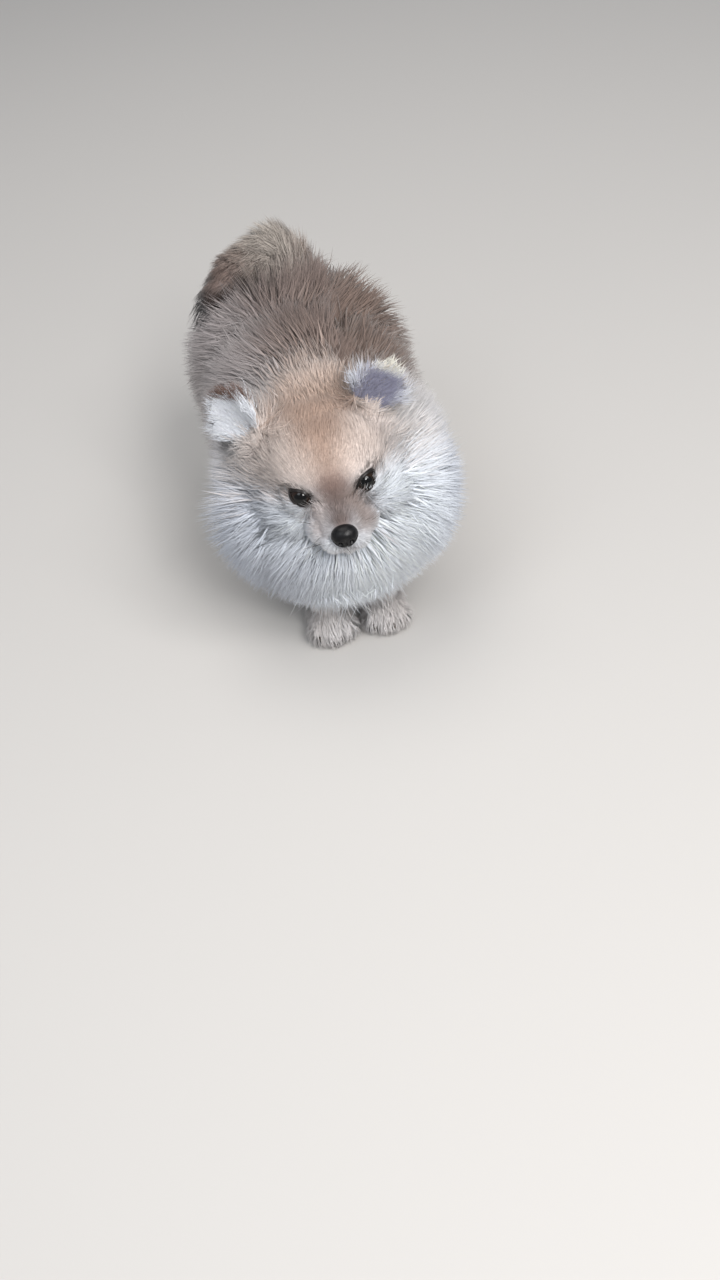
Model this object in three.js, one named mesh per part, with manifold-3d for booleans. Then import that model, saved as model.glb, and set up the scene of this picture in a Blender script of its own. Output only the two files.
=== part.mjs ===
// A young pomeranian standing still, life size, out to the tips of its coat.
// Millimetres, +Z up. The dog faces -Y and its left side is +X. The origin is on the floor under the middle
// of its outline: the masses are placed about a working point that lies MIDDLE away from it.
import * as THREE from "three";
import { edgeTable, triTable } from "three/addons/objects/MarchingCubes.js";
import { mergeVertices } from "three/addons/utils/BufferGeometryUtils.js";
import Module from "manifold-3d";

// Driving dimensions
const MIDDLE = { x: -2.5, y: 12.7 };
const BACK_TOP = 190; // back, at the tips of the coat
const RUMP_TOP = 198;
const BODY_HALF_WIDTH = 91;
const RUFF_HALF_WIDTH = 91;
const FORE_Y = -100; // line of the front feet
const HIND_Y = 92; // line of the hind feet
const FORE_SPREAD = 21; // half the distance between the front feet
const HIND_SPREAD = 35;
const EYE_SPREAD = 20.5; // half the distance between the eyeballs' centres
const EYE_RADIUS = 8.8;
const NOSE_WIDTH = 18;
const EAR_LENGTH = 40;
const EAR_WIDTH = 42;
const PAW_LENGTH = 38;
const PAW_WIDTH = 31;
const GAP = 0.5; // between neighbouring pieces
const FACET = { body: 22, head: 10.4, leg: 13, paw: 6.2, tail: 14, jaw: 7, nose: 3.8 };

// The head's own frame: its origin is midway between the eyes, x runs to the dog's left and -y to the nose.
// It is carried a little to the dog's right, nose down, and tilted with its left side up.
const HEAD = { place: [-8.5, -118.5, 142], turn: -3, tilt: -6, nod: 6 }; // degrees
const headTurn = new THREE.Matrix4()
  .makeRotationFromEuler(
    new THREE.Euler(
      THREE.MathUtils.degToRad(HEAD.nod),
      THREE.MathUtils.degToRad(HEAD.tilt),
      THREE.MathUtils.degToRad(HEAD.turn),
      "ZYX",
    ),
  )
  .setPosition(...HEAD.place);
const headPlace = (x, y, z) => new THREE.Vector3(x, y, z).applyMatrix4(headTurn);

const wasm = await Module();
wasm.setup();

// Rounded masses, as distances: negative inside, positive outside
const ball = (x, y, z, rx, ry, rz) => (p) => {
  const dx = p.x - x;
  const dy = p.y - y;
  const dz = p.z - z;
  const near = Math.hypot(dx / rx, dy / ry, dz / rz);
  const slope = Math.hypot(dx / rx ** 2, dy / ry ** 2, dz / rz ** 2);
  return slope < 1e-9 ? -Math.min(rx, ry, rz) : (near * (near - 1)) / slope;
};

const limb = (from, to, radiusFrom, radiusTo) => {
  const a = new THREE.Vector3(...from);
  const along = new THREE.Vector3(...to).sub(a);
  const reach = along.lengthSq();
  return (p) => {
    const t = THREE.MathUtils.clamp((p.clone().sub(a).dot(along)) / reach, 0, 1);
    const centre = a.clone().addScaledVector(along, t);
    return p.distanceTo(centre) - THREE.MathUtils.lerp(radiusFrom, radiusTo, t);
  };
};

// Joins masses with a soft crease of the given width.
const blend = (width, ...masses) => (p) => {
  let joined = masses[0](p);
  for (const mass of masses.slice(1)) {
    const next = mass(p);
    const share = THREE.MathUtils.clamp(0.5 + (0.5 * (next - joined)) / width, 0, 1);
    joined = THREE.MathUtils.lerp(next, joined, share) - width * share * (1 - share);
  }
  return joined;
};

const bothSides = (make) => [make(-1), make(1)];

const turnedWithHead = (mass) => {
  const back = headTurn.clone().invert();
  return (p) => mass(p.clone().applyMatrix4(back));
};

// Corners and edges of a marching cube, in the order that its tables use
const CORNERS = [
  [0, 0, 0], [1, 0, 0], [1, 1, 0], [0, 1, 0],
  [0, 0, 1], [1, 0, 1], [1, 1, 1], [0, 1, 1],
];
const EDGES = [
  [0, 1], [1, 2], [2, 3], [3, 0], [4, 5], [5, 6],
  [6, 7], [7, 4], [0, 4], [1, 5], [2, 6], [3, 7],
];

// The closed surface where a mass has the given distance, faceted by cubes of one size.
function surfaceOf(mass, box, facet, distance = 0) {
  const count = box.getSize(new THREE.Vector3()).divideScalar(facet).ceil().addScalar(2);
  const [nx, ny, nz] = [count.x + 1, count.y + 1, count.z + 1];
  const start = box.min.clone().subScalar(facet);
  const indexOf = (i, j, k) => i + nx * (j + ny * k);
  const placeOf = (i, j, k) => new THREE.Vector3(i, j, k).multiplyScalar(facet).add(start);
  const values = new Float64Array(nx * ny * nz);
  for (let k = 0; k < nz; k++)
    for (let j = 0; j < ny; j++)
      for (let i = 0; i < nx; i++)
        values[indexOf(i, j, k)] = mass(placeOf(i, j, k)) - distance;
  const points = [];
  const known = new Map();
  const triangles = [];
  const pointOn = (i, j, k, edge) => {
    const [a, b] = EDGES[edge].map((c) => CORNERS[c].map((step, axis) => step + [i, j, k][axis]));
    const [ia, ib] = [indexOf(...a), indexOf(...b)];
    const key = ia < ib ? `${ia}:${ib}` : `${ib}:${ia}`;
    if (!known.has(key)) {
      const share = THREE.MathUtils.clamp(values[ia] / (values[ia] - values[ib]), 0.04, 0.96);
      points.push(...placeOf(...a).lerp(placeOf(...b), share).toArray());
      known.set(key, points.length / 3 - 1);
    }
    return known.get(key);
  };
  for (let k = 0; k < nz - 1; k++)
    for (let j = 0; j < ny - 1; j++)
      for (let i = 0; i < nx - 1; i++) {
        let cube = 0;
        CORNERS.forEach(([x, y, z], bit) => {
          if (values[indexOf(i + x, j + y, k + z)] < 0) cube |= 1 << bit;
        });
        if (edgeTable[cube] === 0) continue;
        for (let t = cube * 16; triTable[t] !== -1; t += 3)
          triangles.push(
            pointOn(i, j, k, triTable[t]),
            pointOn(i, j, k, triTable[t + 1]),
            pointOn(i, j, k, triTable[t + 2]),
          );
      }
  return solidFrom(new Float32Array(points), new Uint32Array(triangles));
}

// A solid from points and triangles, turned outwards if they face in.
function solidFrom(vertProperties, triVerts) {
  const made = new wasm.Manifold(new wasm.Mesh({ numProp: 3, vertProperties, triVerts }));
  if (made.volume() > 0) return made;
  const turned = triVerts.slice();
  for (let t = 0; t < turned.length; t += 3) [turned[t + 1], turned[t + 2]] = [turned[t + 2], turned[t + 1]];
  return new wasm.Manifold(new wasm.Mesh({ numProp: 3, vertProperties, triVerts: turned }));
}

// A three.js geometry as a solid, with its shared vertices merged.
function solidOf(geometry) {
  const plain = geometry.index ? geometry.toNonIndexed() : geometry.clone();
  plain.deleteAttribute("normal");
  plain.deleteAttribute("uv");
  const merged = mergeVertices(plain, 1e-4);
  return solidFrom(merged.attributes.position.array, new Uint32Array(merged.index.array));
}

const boxAround = (low, high) => new THREE.Box3(new THREE.Vector3(...low), new THREE.Vector3(...high));

const block = (low, high) => {
  const box = boxAround(low, high);
  const size = box.getSize(new THREE.Vector3());
  const centre = box.getCenter(new THREE.Vector3());
  return solidOf(new THREE.BoxGeometry(...size.toArray()).translate(...centre.toArray()));
};

// The same solid grown by a little, to cut its neighbours with.
function grown(solid, by = GAP) {
  const mesh = solid.getMesh();
  const geometry = new THREE.BufferGeometry()
    .setAttribute("position", new THREE.BufferAttribute(mesh.vertProperties.slice(), 3))
    .setIndex(new THREE.BufferAttribute(mesh.triVerts.slice(), 1));
  geometry.computeVertexNormals();
  const place = geometry.attributes.position;
  const out = geometry.attributes.normal;
  for (let i = 0; i < place.count; i++)
    place.setXYZ(
      i,
      place.getX(i) + by * out.getX(i),
      place.getY(i) + by * out.getY(i),
      place.getZ(i) + by * out.getZ(i),
    );
  return solidFrom(place.array, mesh.triVerts.slice());
}

// Head: skull with its short coat, cheeks, brows, muzzle and lower jaw
const skull = ball(0, 23, 5, 40, 37, 33);
const cheeks = bothSides((side) => ball(side * 25, 14, -16, 20, 22, 19));
const brows = bothSides((side) => ball(side * 14, 3.5, 12, 11, 8, 7));
const lips = bothSides((side) => ball(side * 13, -9, -21, 10, 11, 10));
const muzzle = blend(6, limb([0, 2, -12], [0, -14, -17], 20, 15), ball(0, -19, -22, 16, 9.5, 10), ...lips);
const crown = ball(-4, 42, 3, 50, 30, 29);
const headMass = turnedWithHead(blend(9, skull, crown, ...cheeks, ...brows, muzzle));
const jawMass = turnedWithHead(limb([0, 2, -33], [0, -16, -33.5], 12, 7));
const headBox = boxAround([-75, -160, 85], [60, -38, 195]);

// Eyes: whole balls, set in the head so that only their fronts show
const eyeBall = (side, radius, detail = 3) =>
  solidOf(
    new THREE.IcosahedronGeometry(radius, detail)
      .translate(...headPlace(side * EYE_SPREAD, 1.5, 3).toArray()),
  );

// The opening that shows an eye between its lids
const eyeOpening = (side) =>
  solidOf(
    new THREE.IcosahedronGeometry(1, 1)
      .scale(8.8, 7, 6.8)
      .translate(side * (EYE_SPREAD + 1), -6.5, 4)
      .applyMatrix4(headTurn),
  );

// Nose: a rounded leather pad, wider above than below
const noseMass = turnedWithHead(
  blend(
    3,
    ball(0, -27, -13, NOSE_WIDTH / 2, 6.5, 6.5),
    ball(0, -26.5, -18.5, NOSE_WIDTH / 3.2, 5, 5),
  ),
);
const noseBox = boxAround([-22, -156, 105], [8, -120, 145]);

// Ears: cupped leaves, each a front and a back sheet that meet at the rim
const EAR_BASE = { right: [-48, 47, 28], left: [36, 46, 28] };
const EAR_LEAN = { right: { out: 40, back: 36, open: 10 }, left: { out: 39, back: 4, open: -6 } }; // degrees
const EAR_CUP = 7;
const EAR_WALL = 4.5;
const EAR_ROWS = 7;
const EAR_COLUMNS = 6;

function earSolid(side, grow = 0) {
  const points = [];
  const triangles = [];
  const sheet = (front) => {
    const first = points.length / 3;
    for (let row = 0; row <= EAR_ROWS; row++)
      for (let column = 0; column <= EAR_COLUMNS; column++) {
        const along = row / EAR_ROWS;
        const across = (2 * column) / EAR_COLUMNS - 1;
        const halfWidth = (EAR_WIDTH / 2 + grow) * Math.pow(1 - along ** 2.1, 0.62) + 0.6;
        const edge = 1 - across ** 2;
        const cup = EAR_CUP * edge * (1 - 0.75 * along);
        const wall = (EAR_WALL / 2 + grow) * Math.pow(edge, 0.4) * (1 - 0.55 * along) + 0.25;
        points.push(
          side * across * halfWidth,
          cup + (front ? -wall : wall),
          (EAR_LENGTH + 2 * grow) * along - 6 - grow,
        );
      }
    return first;
  };
  const front = sheet(true);
  const back = sheet(false);
  const at = (first, row, column) => first + row * (EAR_COLUMNS + 1) + column;
  const quad = (a, b, c, d) => triangles.push(a, b, c, a, c, d);
  for (let row = 0; row < EAR_ROWS; row++)
    for (let column = 0; column < EAR_COLUMNS; column++) {
      const [r, c] = [row + 1, column + 1];
      quad(at(front, row, column), at(front, row, c), at(front, r, c), at(front, r, column));
      quad(at(back, row, column), at(back, r, column), at(back, r, c), at(back, row, c));
    }
  for (let row = 0; row < EAR_ROWS; row++)
    for (const [column, turn] of [[0, false], [EAR_COLUMNS, true]]) {
      const corners = [
        at(front, row, column), at(front, row + 1, column),
        at(back, row + 1, column), at(back, row, column),
      ];
      quad(...(turn ? corners.reverse() : corners));
    }
  for (let column = 0; column < EAR_COLUMNS; column++)
    for (const [row, turn] of [[0, true], [EAR_ROWS, false]]) {
      const corners = [
        at(front, row, column), at(front, row, column + 1),
        at(back, row, column + 1), at(back, row, column),
      ];
      quad(...(turn ? corners.reverse() : corners));
    }
  const word = side < 0 ? "right" : "left";
  const { out, back: tilt, open } = EAR_LEAN[word];
  const lean = new THREE.Euler(
    THREE.MathUtils.degToRad(-tilt),
    THREE.MathUtils.degToRad(side * out),
    THREE.MathUtils.degToRad(side * open),
    "ZYX",
  );
  const place = new THREE.Matrix4()
    .makeTranslation(...EAR_BASE[word])
    .multiply(new THREE.Matrix4().makeRotationFromEuler(lean));
  const geometry = new THREE.BufferGeometry()
    .setAttribute("position", new THREE.Float32BufferAttribute(points, 3))
    .applyMatrix4(headTurn.clone().multiply(place));
  geometry.setIndex(triangles);
  return solidOf(geometry);
}

// Neck: the standing ruff round the face, the bib under the chin and the nape
const ruffMass = blend(
  16,
  ball(-3, -73, 100, RUFF_HALF_WIDTH, 68, 68),
  ball(-6, -96, 75, 54, 40, 41),
  ball(-8, -62, 138, 60, 42, 44),
  ...bothSides((side) => ball(side * 52 - 5, -84, 121, 30, 32, 38)),
);

// Trunk: chest, loin and rump, with the long hair behind the thighs
const trunkMass = blend(
  24,
  ball(1, -40, 110, BODY_HALF_WIDTH - 3, 66, BACK_TOP - 110),
  ball(-2, 26, 114, BODY_HALF_WIDTH - 4, 76, BACK_TOP - 114),
  ball(-2, 96, 119, BODY_HALF_WIDTH, 80, RUMP_TOP - 119),
  ...bothSides((side) => ball(side * 36, 118, 82, 38, 40, 44)),
);

// Neck and trunk are one coat, parted where the ruff ends
const coatMass = blend(14, trunkMass, ruffMass);
const coatBox = boxAround([-110, -165, 15], [110, 190, 220]);
const NECK_CUT_Y = -52; // the ruff ends here and the trunk begins

// Tail: up from the rump, then curled over to the dog's right, in two lengths
const tailRoot = limb([4, 96, 150], [2, 128, 176], 18, 24);
const tailPlume = ball(-2, 128, 184, 30, 25, 27);
const tailCurl = limb([-8, 128, 188], [-40, 110, 184], 24, 21);
const tailTip = ball(-53, 102, 174, 21, 20, 19);
const tailMass = blend(10, tailRoot, tailPlume, tailCurl, tailTip);
const tailBox = boxAround([-85, 65, 130], [40, 170, 225]);
const TAIL_CUT_X = -24;

// Feet: a pad with four toes, flat underneath
const TOES = [-1.5, -0.5, 0.5, 1.5];
const toePlace = (x, y, toe, scale) => ({
  x: x + toe * 7.2 * scale,
  y: y - (PAW_LENGTH / 2 - 7.5 - Math.abs(toe) ** 2 * 1.7) * scale,
  z: 8.5 * scale,
});
const pawMass = (x, y, scale) =>
  blend(
    2.5,
    ball(x, y + 2 * scale, 12 * scale, (PAW_WIDTH / 2) * scale, (PAW_LENGTH / 2 - 3) * scale, 15 * scale),
    ...TOES.map((toe) => {
      const place = toePlace(x, y, toe, scale);
      return ball(place.x, place.y, place.z, 5.4 * scale, 8.5 * scale, 8.8 * scale);
    }),
  );
const pawBox = (x, y) => boxAround([x - 22, y - 26, -6], [x + 22, y + 24, 34]);

// Claws: short tapered cones that leave the toes forwards and down
const CLAW = { length: 6.5, radius: 1.5, sides: 7, sink: 3.4, dip: 26, lift: 6.8 };

function clawSolid(x, y, toe, scale) {
  const place = toePlace(x, y, toe, scale);
  const cone = new THREE.ConeGeometry(CLAW.radius, CLAW.length, CLAW.sides)
    .translate(0, CLAW.length / 2 - CLAW.sink, 0)
    .rotateX(Math.PI + THREE.MathUtils.degToRad(CLAW.dip))
    .rotateZ(THREE.MathUtils.degToRad(toe * 7))
    .translate(place.x, place.y - 8.2 * scale, CLAW.lift * scale);
  return solidOf(cone);
}

// Legs, above the feet
const PASTERN_Z = 24; // a leg and its foot are parted here
const foreLegMass = (side, x, y) =>
  blend(
    8,
    limb([x, y + 3, 12], [x, y + 6, 44], 13, 15),
    limb([x, y + 6, 44], [side * 30, y + 36, 72], 16, 22),
  );
const foreLegBox = (x, y) => boxAround([x - 45, y - 22, 0], [x + 45, y + 60, 122]);
const hindLegMass = (side, x, y) =>
  blend(
    8,
    limb([x, y + 5, 12], [x + side * 2, y + 24, 50], 12.5, 14),
    limb([x + side * 2, y + 24, 50], [side * 42, y - 2, 78], 16, 27),
    limb([x, y + 30, 44], [side * 40, y + 30, 70], 12, 20),
  );
const hindLegBox = (x, y) => boxAround([x - 45, y - 40, 0], [x + 50, y + 62, 118]);

const LEGS = [
  { name: "fore", side: -1, x: -FORE_SPREAD - 1, y: FORE_Y - 1, scale: 1 },
  { name: "fore", side: 1, x: FORE_SPREAD - 2, y: FORE_Y + 1, scale: 1 },
  { name: "hind", side: -1, x: -HIND_SPREAD, y: HIND_Y + 2, scale: 0.95 },
  { name: "hind", side: 1, x: HIND_SPREAD, y: HIND_Y - 2, scale: 0.95 },
].map((leg) => ({
  ...leg,
  word: leg.side < 0 ? "right" : "left",
  mass: (leg.name === "fore" ? foreLegMass : hindLegMass)(leg.side, leg.x, leg.y),
  box: (leg.name === "fore" ? foreLegBox : hindLegBox)(leg.x, leg.y),
}));

// Materials
const finish = (color, roughness) => new THREE.MeshStandardMaterial({ color, roughness, metalness: 0 });
const FINISH = {
  orange: finish("#c39a78", 0.95),
  cream: finish("#ded8d0", 0.95),
  sable: finish("#8d7a6c", 0.95),
  leather: finish("#17171a", 0.45),
  eye: finish("#120c0a", 0.12),
  claw: finish("#3a322d", 0.5),
};

const dog = new THREE.Group();

function addPiece(name, solid, material) {
  const mesh = solid.getMesh();
  const geometry = new THREE.BufferGeometry()
    .setAttribute("position", new THREE.BufferAttribute(mesh.vertProperties.slice(), 3))
    .setIndex(new THREE.BufferAttribute(mesh.triVerts.slice(), 1))
    .translate(-MIDDLE.x, -MIDDLE.y, 0);
  geometry.computeVertexNormals();
  const piece = new THREE.Mesh(geometry, material);
  piece.name = name;
  dog.add(piece);
}

// The largest body of a solid, so that a cut leaves no crumbs.
const largest = (solid) =>
  solid.decompose().reduce((best, next) => (next.volume() > best.volume() ? next : best));

// Head pieces, each cut clear of the ones set in it
const head = surfaceOf(headMass, headBox, FACET.head);
const jaw = surfaceOf(jawMass, headBox, FACET.jaw);
const nose = surfaceOf(noseMass, noseBox, FACET.nose);
let headSolid = head.subtract(grown(jaw)).subtract(grown(nose));
let headShape = grown(head).add(grown(jaw)).add(grown(nose));
for (const side of [-1, 1]) {
  const word = side < 0 ? "right" : "left";
  const ear = earSolid(side);
  headSolid = headSolid
    .subtract(eyeBall(side, EYE_RADIUS + 3 * GAP, 1))
    .subtract(eyeOpening(side))
    .subtract(grown(ear));
  headShape = headShape.add(grown(ear)).add(eyeBall(side, EYE_RADIUS + 3 * GAP, 1));
  addPiece(`eye_${word}`, eyeBall(side, EYE_RADIUS, 2), FINISH.eye);
  addPiece(`ear_${word}`, ear, FINISH.cream);
}
addPiece("head", largest(headSolid), FINISH.orange);
addPiece("jaw", largest(jaw.subtract(grown(nose))), FINISH.cream);
addPiece("nose", nose, FINISH.leather);

// Legs and feet, each parted at the pastern, with the claws let into the toes
const legShapes = [];
for (const leg of LEGS) {
  const whole = surfaceOf(leg.mass, leg.box, FACET.leg);
  const foot = surfaceOf(pawMass(leg.x, leg.y, leg.scale), pawBox(leg.x, leg.y), FACET.paw);
  const shin = whole.intersect(block([-300, -300, PASTERN_Z + GAP], [300, 300, 400]));
  const ankle = whole.intersect(block([-300, -300, 10], [300, 300, PASTERN_Z]));
  let paw = foot.add(ankle).intersect(block([-300, -300, 0], [300, 300, PASTERN_Z]));
  TOES.forEach((toe, number) => {
    const claw = clawSolid(leg.x, leg.y, toe, leg.scale);
    addPiece(`claw_${leg.name}_${leg.word}_${number + 1}`, largest(claw.subtract(grown(paw, 0.1))), FINISH.claw);
  });
  addPiece(`paw_${leg.name}_${leg.word}`, largest(paw), FINISH.cream);
  addPiece(`leg_${leg.name}_${leg.word}`, largest(shin), FINISH.cream);
  legShapes.push(grown(whole), grown(foot));
}
const allLegs = legShapes.reduce((joined, next) => joined.add(next));

// Tail in two lengths
const tail = surfaceOf(tailMass, tailBox, FACET.tail);
addPiece("tail_base", largest(tail.intersect(block([TAIL_CUT_X + GAP, 0, 0], [300, 300, 400]))), FINISH.cream);
addPiece("tail_tip", largest(tail.intersect(block([-300, 0, 0], [TAIL_CUT_X, 300, 400]))), FINISH.sable);

// Neck and trunk, open where the head, legs and tail go in
const coat = surfaceOf(coatMass, coatBox, FACET.body).subtract(headShape).subtract(allLegs);
addPiece("neck", largest(coat.intersect(block([-300, -300, 0], [300, NECK_CUT_Y, 400]))), FINISH.cream);
const trunk = coat.intersect(block([-300, NECK_CUT_Y + GAP, 0], [300, 300, 400])).subtract(grown(tail));
addPiece("trunk", largest(trunk), FINISH.sable);

export default dog;
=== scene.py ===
"""A young pomeranian as a still, life-size model: one skin under a coat of solid tufts.

Sizes in the tables are millimetres about the working point that the solids use, and the dog faces -Y.
"""
from __future__ import annotations

import logging
import math
from dataclasses import dataclass
from enum import Enum
from typing import Iterable

import bmesh
import bpy
import numpy as np
from mathutils import Matrix, Vector, kdtree
from mathutils.bvhtree import BVHTree

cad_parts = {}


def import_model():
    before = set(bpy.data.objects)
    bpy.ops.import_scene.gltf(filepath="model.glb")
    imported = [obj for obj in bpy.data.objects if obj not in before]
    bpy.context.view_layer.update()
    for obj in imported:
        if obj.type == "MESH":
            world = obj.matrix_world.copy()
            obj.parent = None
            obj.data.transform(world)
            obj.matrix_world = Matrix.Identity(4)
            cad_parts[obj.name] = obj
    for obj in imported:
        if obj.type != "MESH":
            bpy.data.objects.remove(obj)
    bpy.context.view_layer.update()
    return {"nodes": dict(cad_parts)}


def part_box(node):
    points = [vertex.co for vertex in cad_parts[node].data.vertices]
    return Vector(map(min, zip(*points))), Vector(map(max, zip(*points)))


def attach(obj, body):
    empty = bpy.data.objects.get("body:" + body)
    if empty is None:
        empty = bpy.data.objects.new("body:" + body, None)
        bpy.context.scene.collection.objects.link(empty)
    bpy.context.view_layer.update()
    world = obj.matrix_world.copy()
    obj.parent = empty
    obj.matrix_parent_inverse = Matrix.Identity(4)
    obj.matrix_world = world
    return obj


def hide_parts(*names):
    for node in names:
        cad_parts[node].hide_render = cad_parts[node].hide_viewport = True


LOG = logging.getLogger("pomeranian")
MM = 0.001
MIDDLE = np.array([-2.5, 12.7, 0.0])
SEED = 20
UV_NAME = "OFBake"
TONE_NAME = "Marking"
TUFT_PATCH = 0.003
SOLE_Z = 0.4
BRIGHTEST = 0.93

Triple = tuple[float, float, float]
Pair = tuple[float, float]
Stops = tuple[tuple[float, Triple], ...]


# Places and directions


def degrees(x: float, y: float, z: float) -> Matrix:
    """A turn about Z, then Y, then X, in degrees."""
    turns = [Matrix.Rotation(math.radians(a), 4, n) for a, n in ((z, "Z"), (y, "Y"), (x, "X"))]
    return turns[0] @ turns[1] @ turns[2]


HEAD = Matrix.Translation((-8.5, -118.5, 142.0)) @ degrees(6.0, -6.0, -3.0)


def apply(matrix: Matrix, points: np.ndarray) -> np.ndarray:
    """The points, one a row, moved by a matrix."""
    m = np.array(matrix)
    return points @ m[:3, :3].T + m[:3, 3]


def on_head(points: np.ndarray) -> np.ndarray:
    """Working points in the head's frame."""
    return apply(HEAD.inverted(), points)


def to_row(points: np.ndarray) -> np.ndarray:
    """Working millimetres to metres in the row frame."""
    return (np.asarray(points, float) - MIDDLE) * MM


def to_work(points: np.ndarray) -> np.ndarray:
    """Metres in the row frame to working millimetres."""
    return np.asarray(points, float) / MM + MIDDLE


def folded(points: np.ndarray) -> np.ndarray:
    """The points with those on the dog's right mirrored to its left."""
    return np.column_stack([np.abs(points[:, 0]), points[:, 1:]])


def size_of(vectors: np.ndarray) -> np.ndarray:
    """The length of each row."""
    return np.linalg.norm(vectors, axis=1)


def unit(vectors: np.ndarray) -> np.ndarray:
    """The vectors at length 1."""
    return vectors / np.maximum(np.linalg.norm(vectors, axis=-1, keepdims=True), 1e-9)


def smooth(low: float, high: float, value: np.ndarray) -> np.ndarray:
    """A soft step from 0 at low to 1 at high."""
    t = np.clip((value - low) / (high - low), 0.0, 1.0)
    return t * t * (3.0 - 2.0 * t)


def between(ends: Pair, share: np.ndarray) -> np.ndarray:
    """A value some share of the way from one end to the other."""
    return ends[0] + (ends[1] - ends[0]) * share


def blend(first: np.ndarray, second: Triple | np.ndarray, share: np.ndarray) -> np.ndarray:
    """Colours blended from the first to the second, by one share a row."""
    share = share[:, None]
    return first * (1 - share) + np.array(second) * share


def along(points: np.ndarray, a: Triple, b: Triple) -> tuple[np.ndarray, np.ndarray]:
    """How far points are from a line between two places.

    Args:
        points: One point a row.
        a: The line's start.
        b: The line's end.

    Returns:
        Each point's distance from the line and its share of the way along it.
    """
    start, reach = np.array(a), np.array(b) - np.array(a)
    t = np.clip((points - start) @ reach / max(reach @ reach, 1e-9), 0.0, 1.0)
    return size_of(points - start - t[:, None] * reach), t


class Side(Enum):
    """A side of the dog, with the sign of x there."""

    RIGHT = -1
    LEFT = 1

    @property
    def word(self) -> str:
        """The side's name in node names."""
        return self.name.lower()


# Finishes


@dataclass
class Graph:
    """The nodes of a material or of a group, as they are wired."""

    tree: bpy.types.NodeTree

    def feed(self, node: bpy.types.Node, inputs: dict) -> None:
        """Links each input that is given a socket, and sets the others.

        Args:
            node: The node.
            inputs: A value or a socket for each input.
        """
        for name, value in inputs.items():
            if isinstance(value, bpy.types.NodeSocket):
                self.tree.links.new(value, node.inputs[name])
            else:
                node.inputs[name].default_value = value

    def add(self, kind: str, inputs: dict | None = None, **settings: object) -> bpy.types.Node:
        """Adds a node with its settings and inputs.

        Args:
            kind: The node's type, without the words ShaderNode.
            inputs: A value or a socket for each input.
            settings: The node's settings.

        Returns:
            The node.
        """
        node = self.tree.nodes.new(f"ShaderNode{kind}" if not kind.startswith("NodeGroup") else kind)
        for name, value in settings.items():
            setattr(node, name, value)
        self.feed(node, inputs or {})
        return node

    def math(self, operation: str, *values: bpy.types.NodeSocket | float) -> bpy.types.NodeSocket:
        """A sum of one kind over some values."""
        return self.add("Math", dict(enumerate(values)), operation=operation).outputs[0]

    def span(self, value: bpy.types.NodeSocket, ends: Pair) -> bpy.types.NodeSocket:
        """A value from 0 to 1 spread between two ends."""
        return self.add("MapRange", {"Value": value, "To Min": ends[0], "To Max": ends[1]}).outputs[0]

    def place(self) -> bpy.types.NodeSocket:
        """The place on the object."""
        return self.add("TexCoord").outputs["Object"]

    def ramp(self, value: bpy.types.NodeSocket, stops: Stops) -> bpy.types.NodeSocket:
        """A colour for each value, from stops given as a position and a colour.

        Args:
            value: The value.
            stops: The stops, from the lowest to the highest.

        Returns:
            The colour.
        """
        node = self.add("ValToRGB", {"Fac": value})
        elements = node.color_ramp.elements
        elements[0].position, elements[0].color = stops[0][0], (*stops[0][1], 1)
        elements[1].position, elements[1].color = stops[-1][0], (*stops[-1][1], 1)
        for position, colour in stops[1:-1]:
            elements.new(position).color = (*colour, 1.0)
        return node.outputs["Color"]

    def bump(
        self, height: bpy.types.NodeSocket, strength: float, distance: float, invert: bool = False
    ) -> bpy.types.NodeSocket:
        """The normals of a surface with fine relief."""
        inputs = {"Height": height, "Strength": strength, "Distance": distance}
        return self.add("Bump", inputs, invert=invert).outputs["Normal"]


def started(name: str) -> tuple[bpy.types.Material, Graph, bpy.types.Node]:
    """A new material, its graph and its shader.

    Args:
        name: The material's name.

    Returns:
        The material, its graph and its shader.
    """
    material = bpy.data.materials.new(name)
    material.use_nodes = True
    return material, Graph(material.node_tree), material.node_tree.nodes["Principled BSDF"]


def streak_group() -> bpy.types.NodeTree:
    """Fine light and dark streaks over a colour.

    Returns:
        A group with Colour, Scale and Amount in, and Colour, Roughness and Height out.
    """
    tree = bpy.data.node_groups.new("hair_streaks", "ShaderNodeTree")
    sockets = {"INPUT": ("Colour", "Scale", "Amount"), "OUTPUT": ("Colour", "Roughness", "Height")}
    for way, names in sockets.items():
        for name in names:
            kind = "NodeSocketColor" if name == "Colour" else "NodeSocketFloat"
            tree.interface.new_socket(name, in_out=way, socket_type=kind)
    graph = Graph(tree)
    given, end, place = graph.add("NodeGroupInput").outputs, graph.add("NodeGroupOutput"), graph.place()
    fine = graph.add("TexNoise", {"Vector": place, "Scale": given["Scale"], "Detail": 3.0}).outputs["Fac"]
    broad = graph.add("TexNoise", {"Vector": place, "Scale": 70.0, "Detail": 2.0}).outputs["Fac"]
    mixed = graph.math("MULTIPLY_ADD", fine, 0.6, graph.math("MULTIPLY", broad, 0.4))
    strength = graph.math("MULTIPLY", given["Amount"], 4.0)
    scaled = graph.math("MULTIPLY_ADD", graph.math("SUBTRACT", mixed, 0.5), strength, 1.0)
    tint = graph.add("VectorMath", {0: given["Colour"], "Scale": scaled}, operation="SCALE").outputs[0]
    graph.feed(end, {"Colour": tint, "Roughness": graph.span(mixed, (0.55, 0.85)), "Height": mixed})
    return tree


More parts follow.
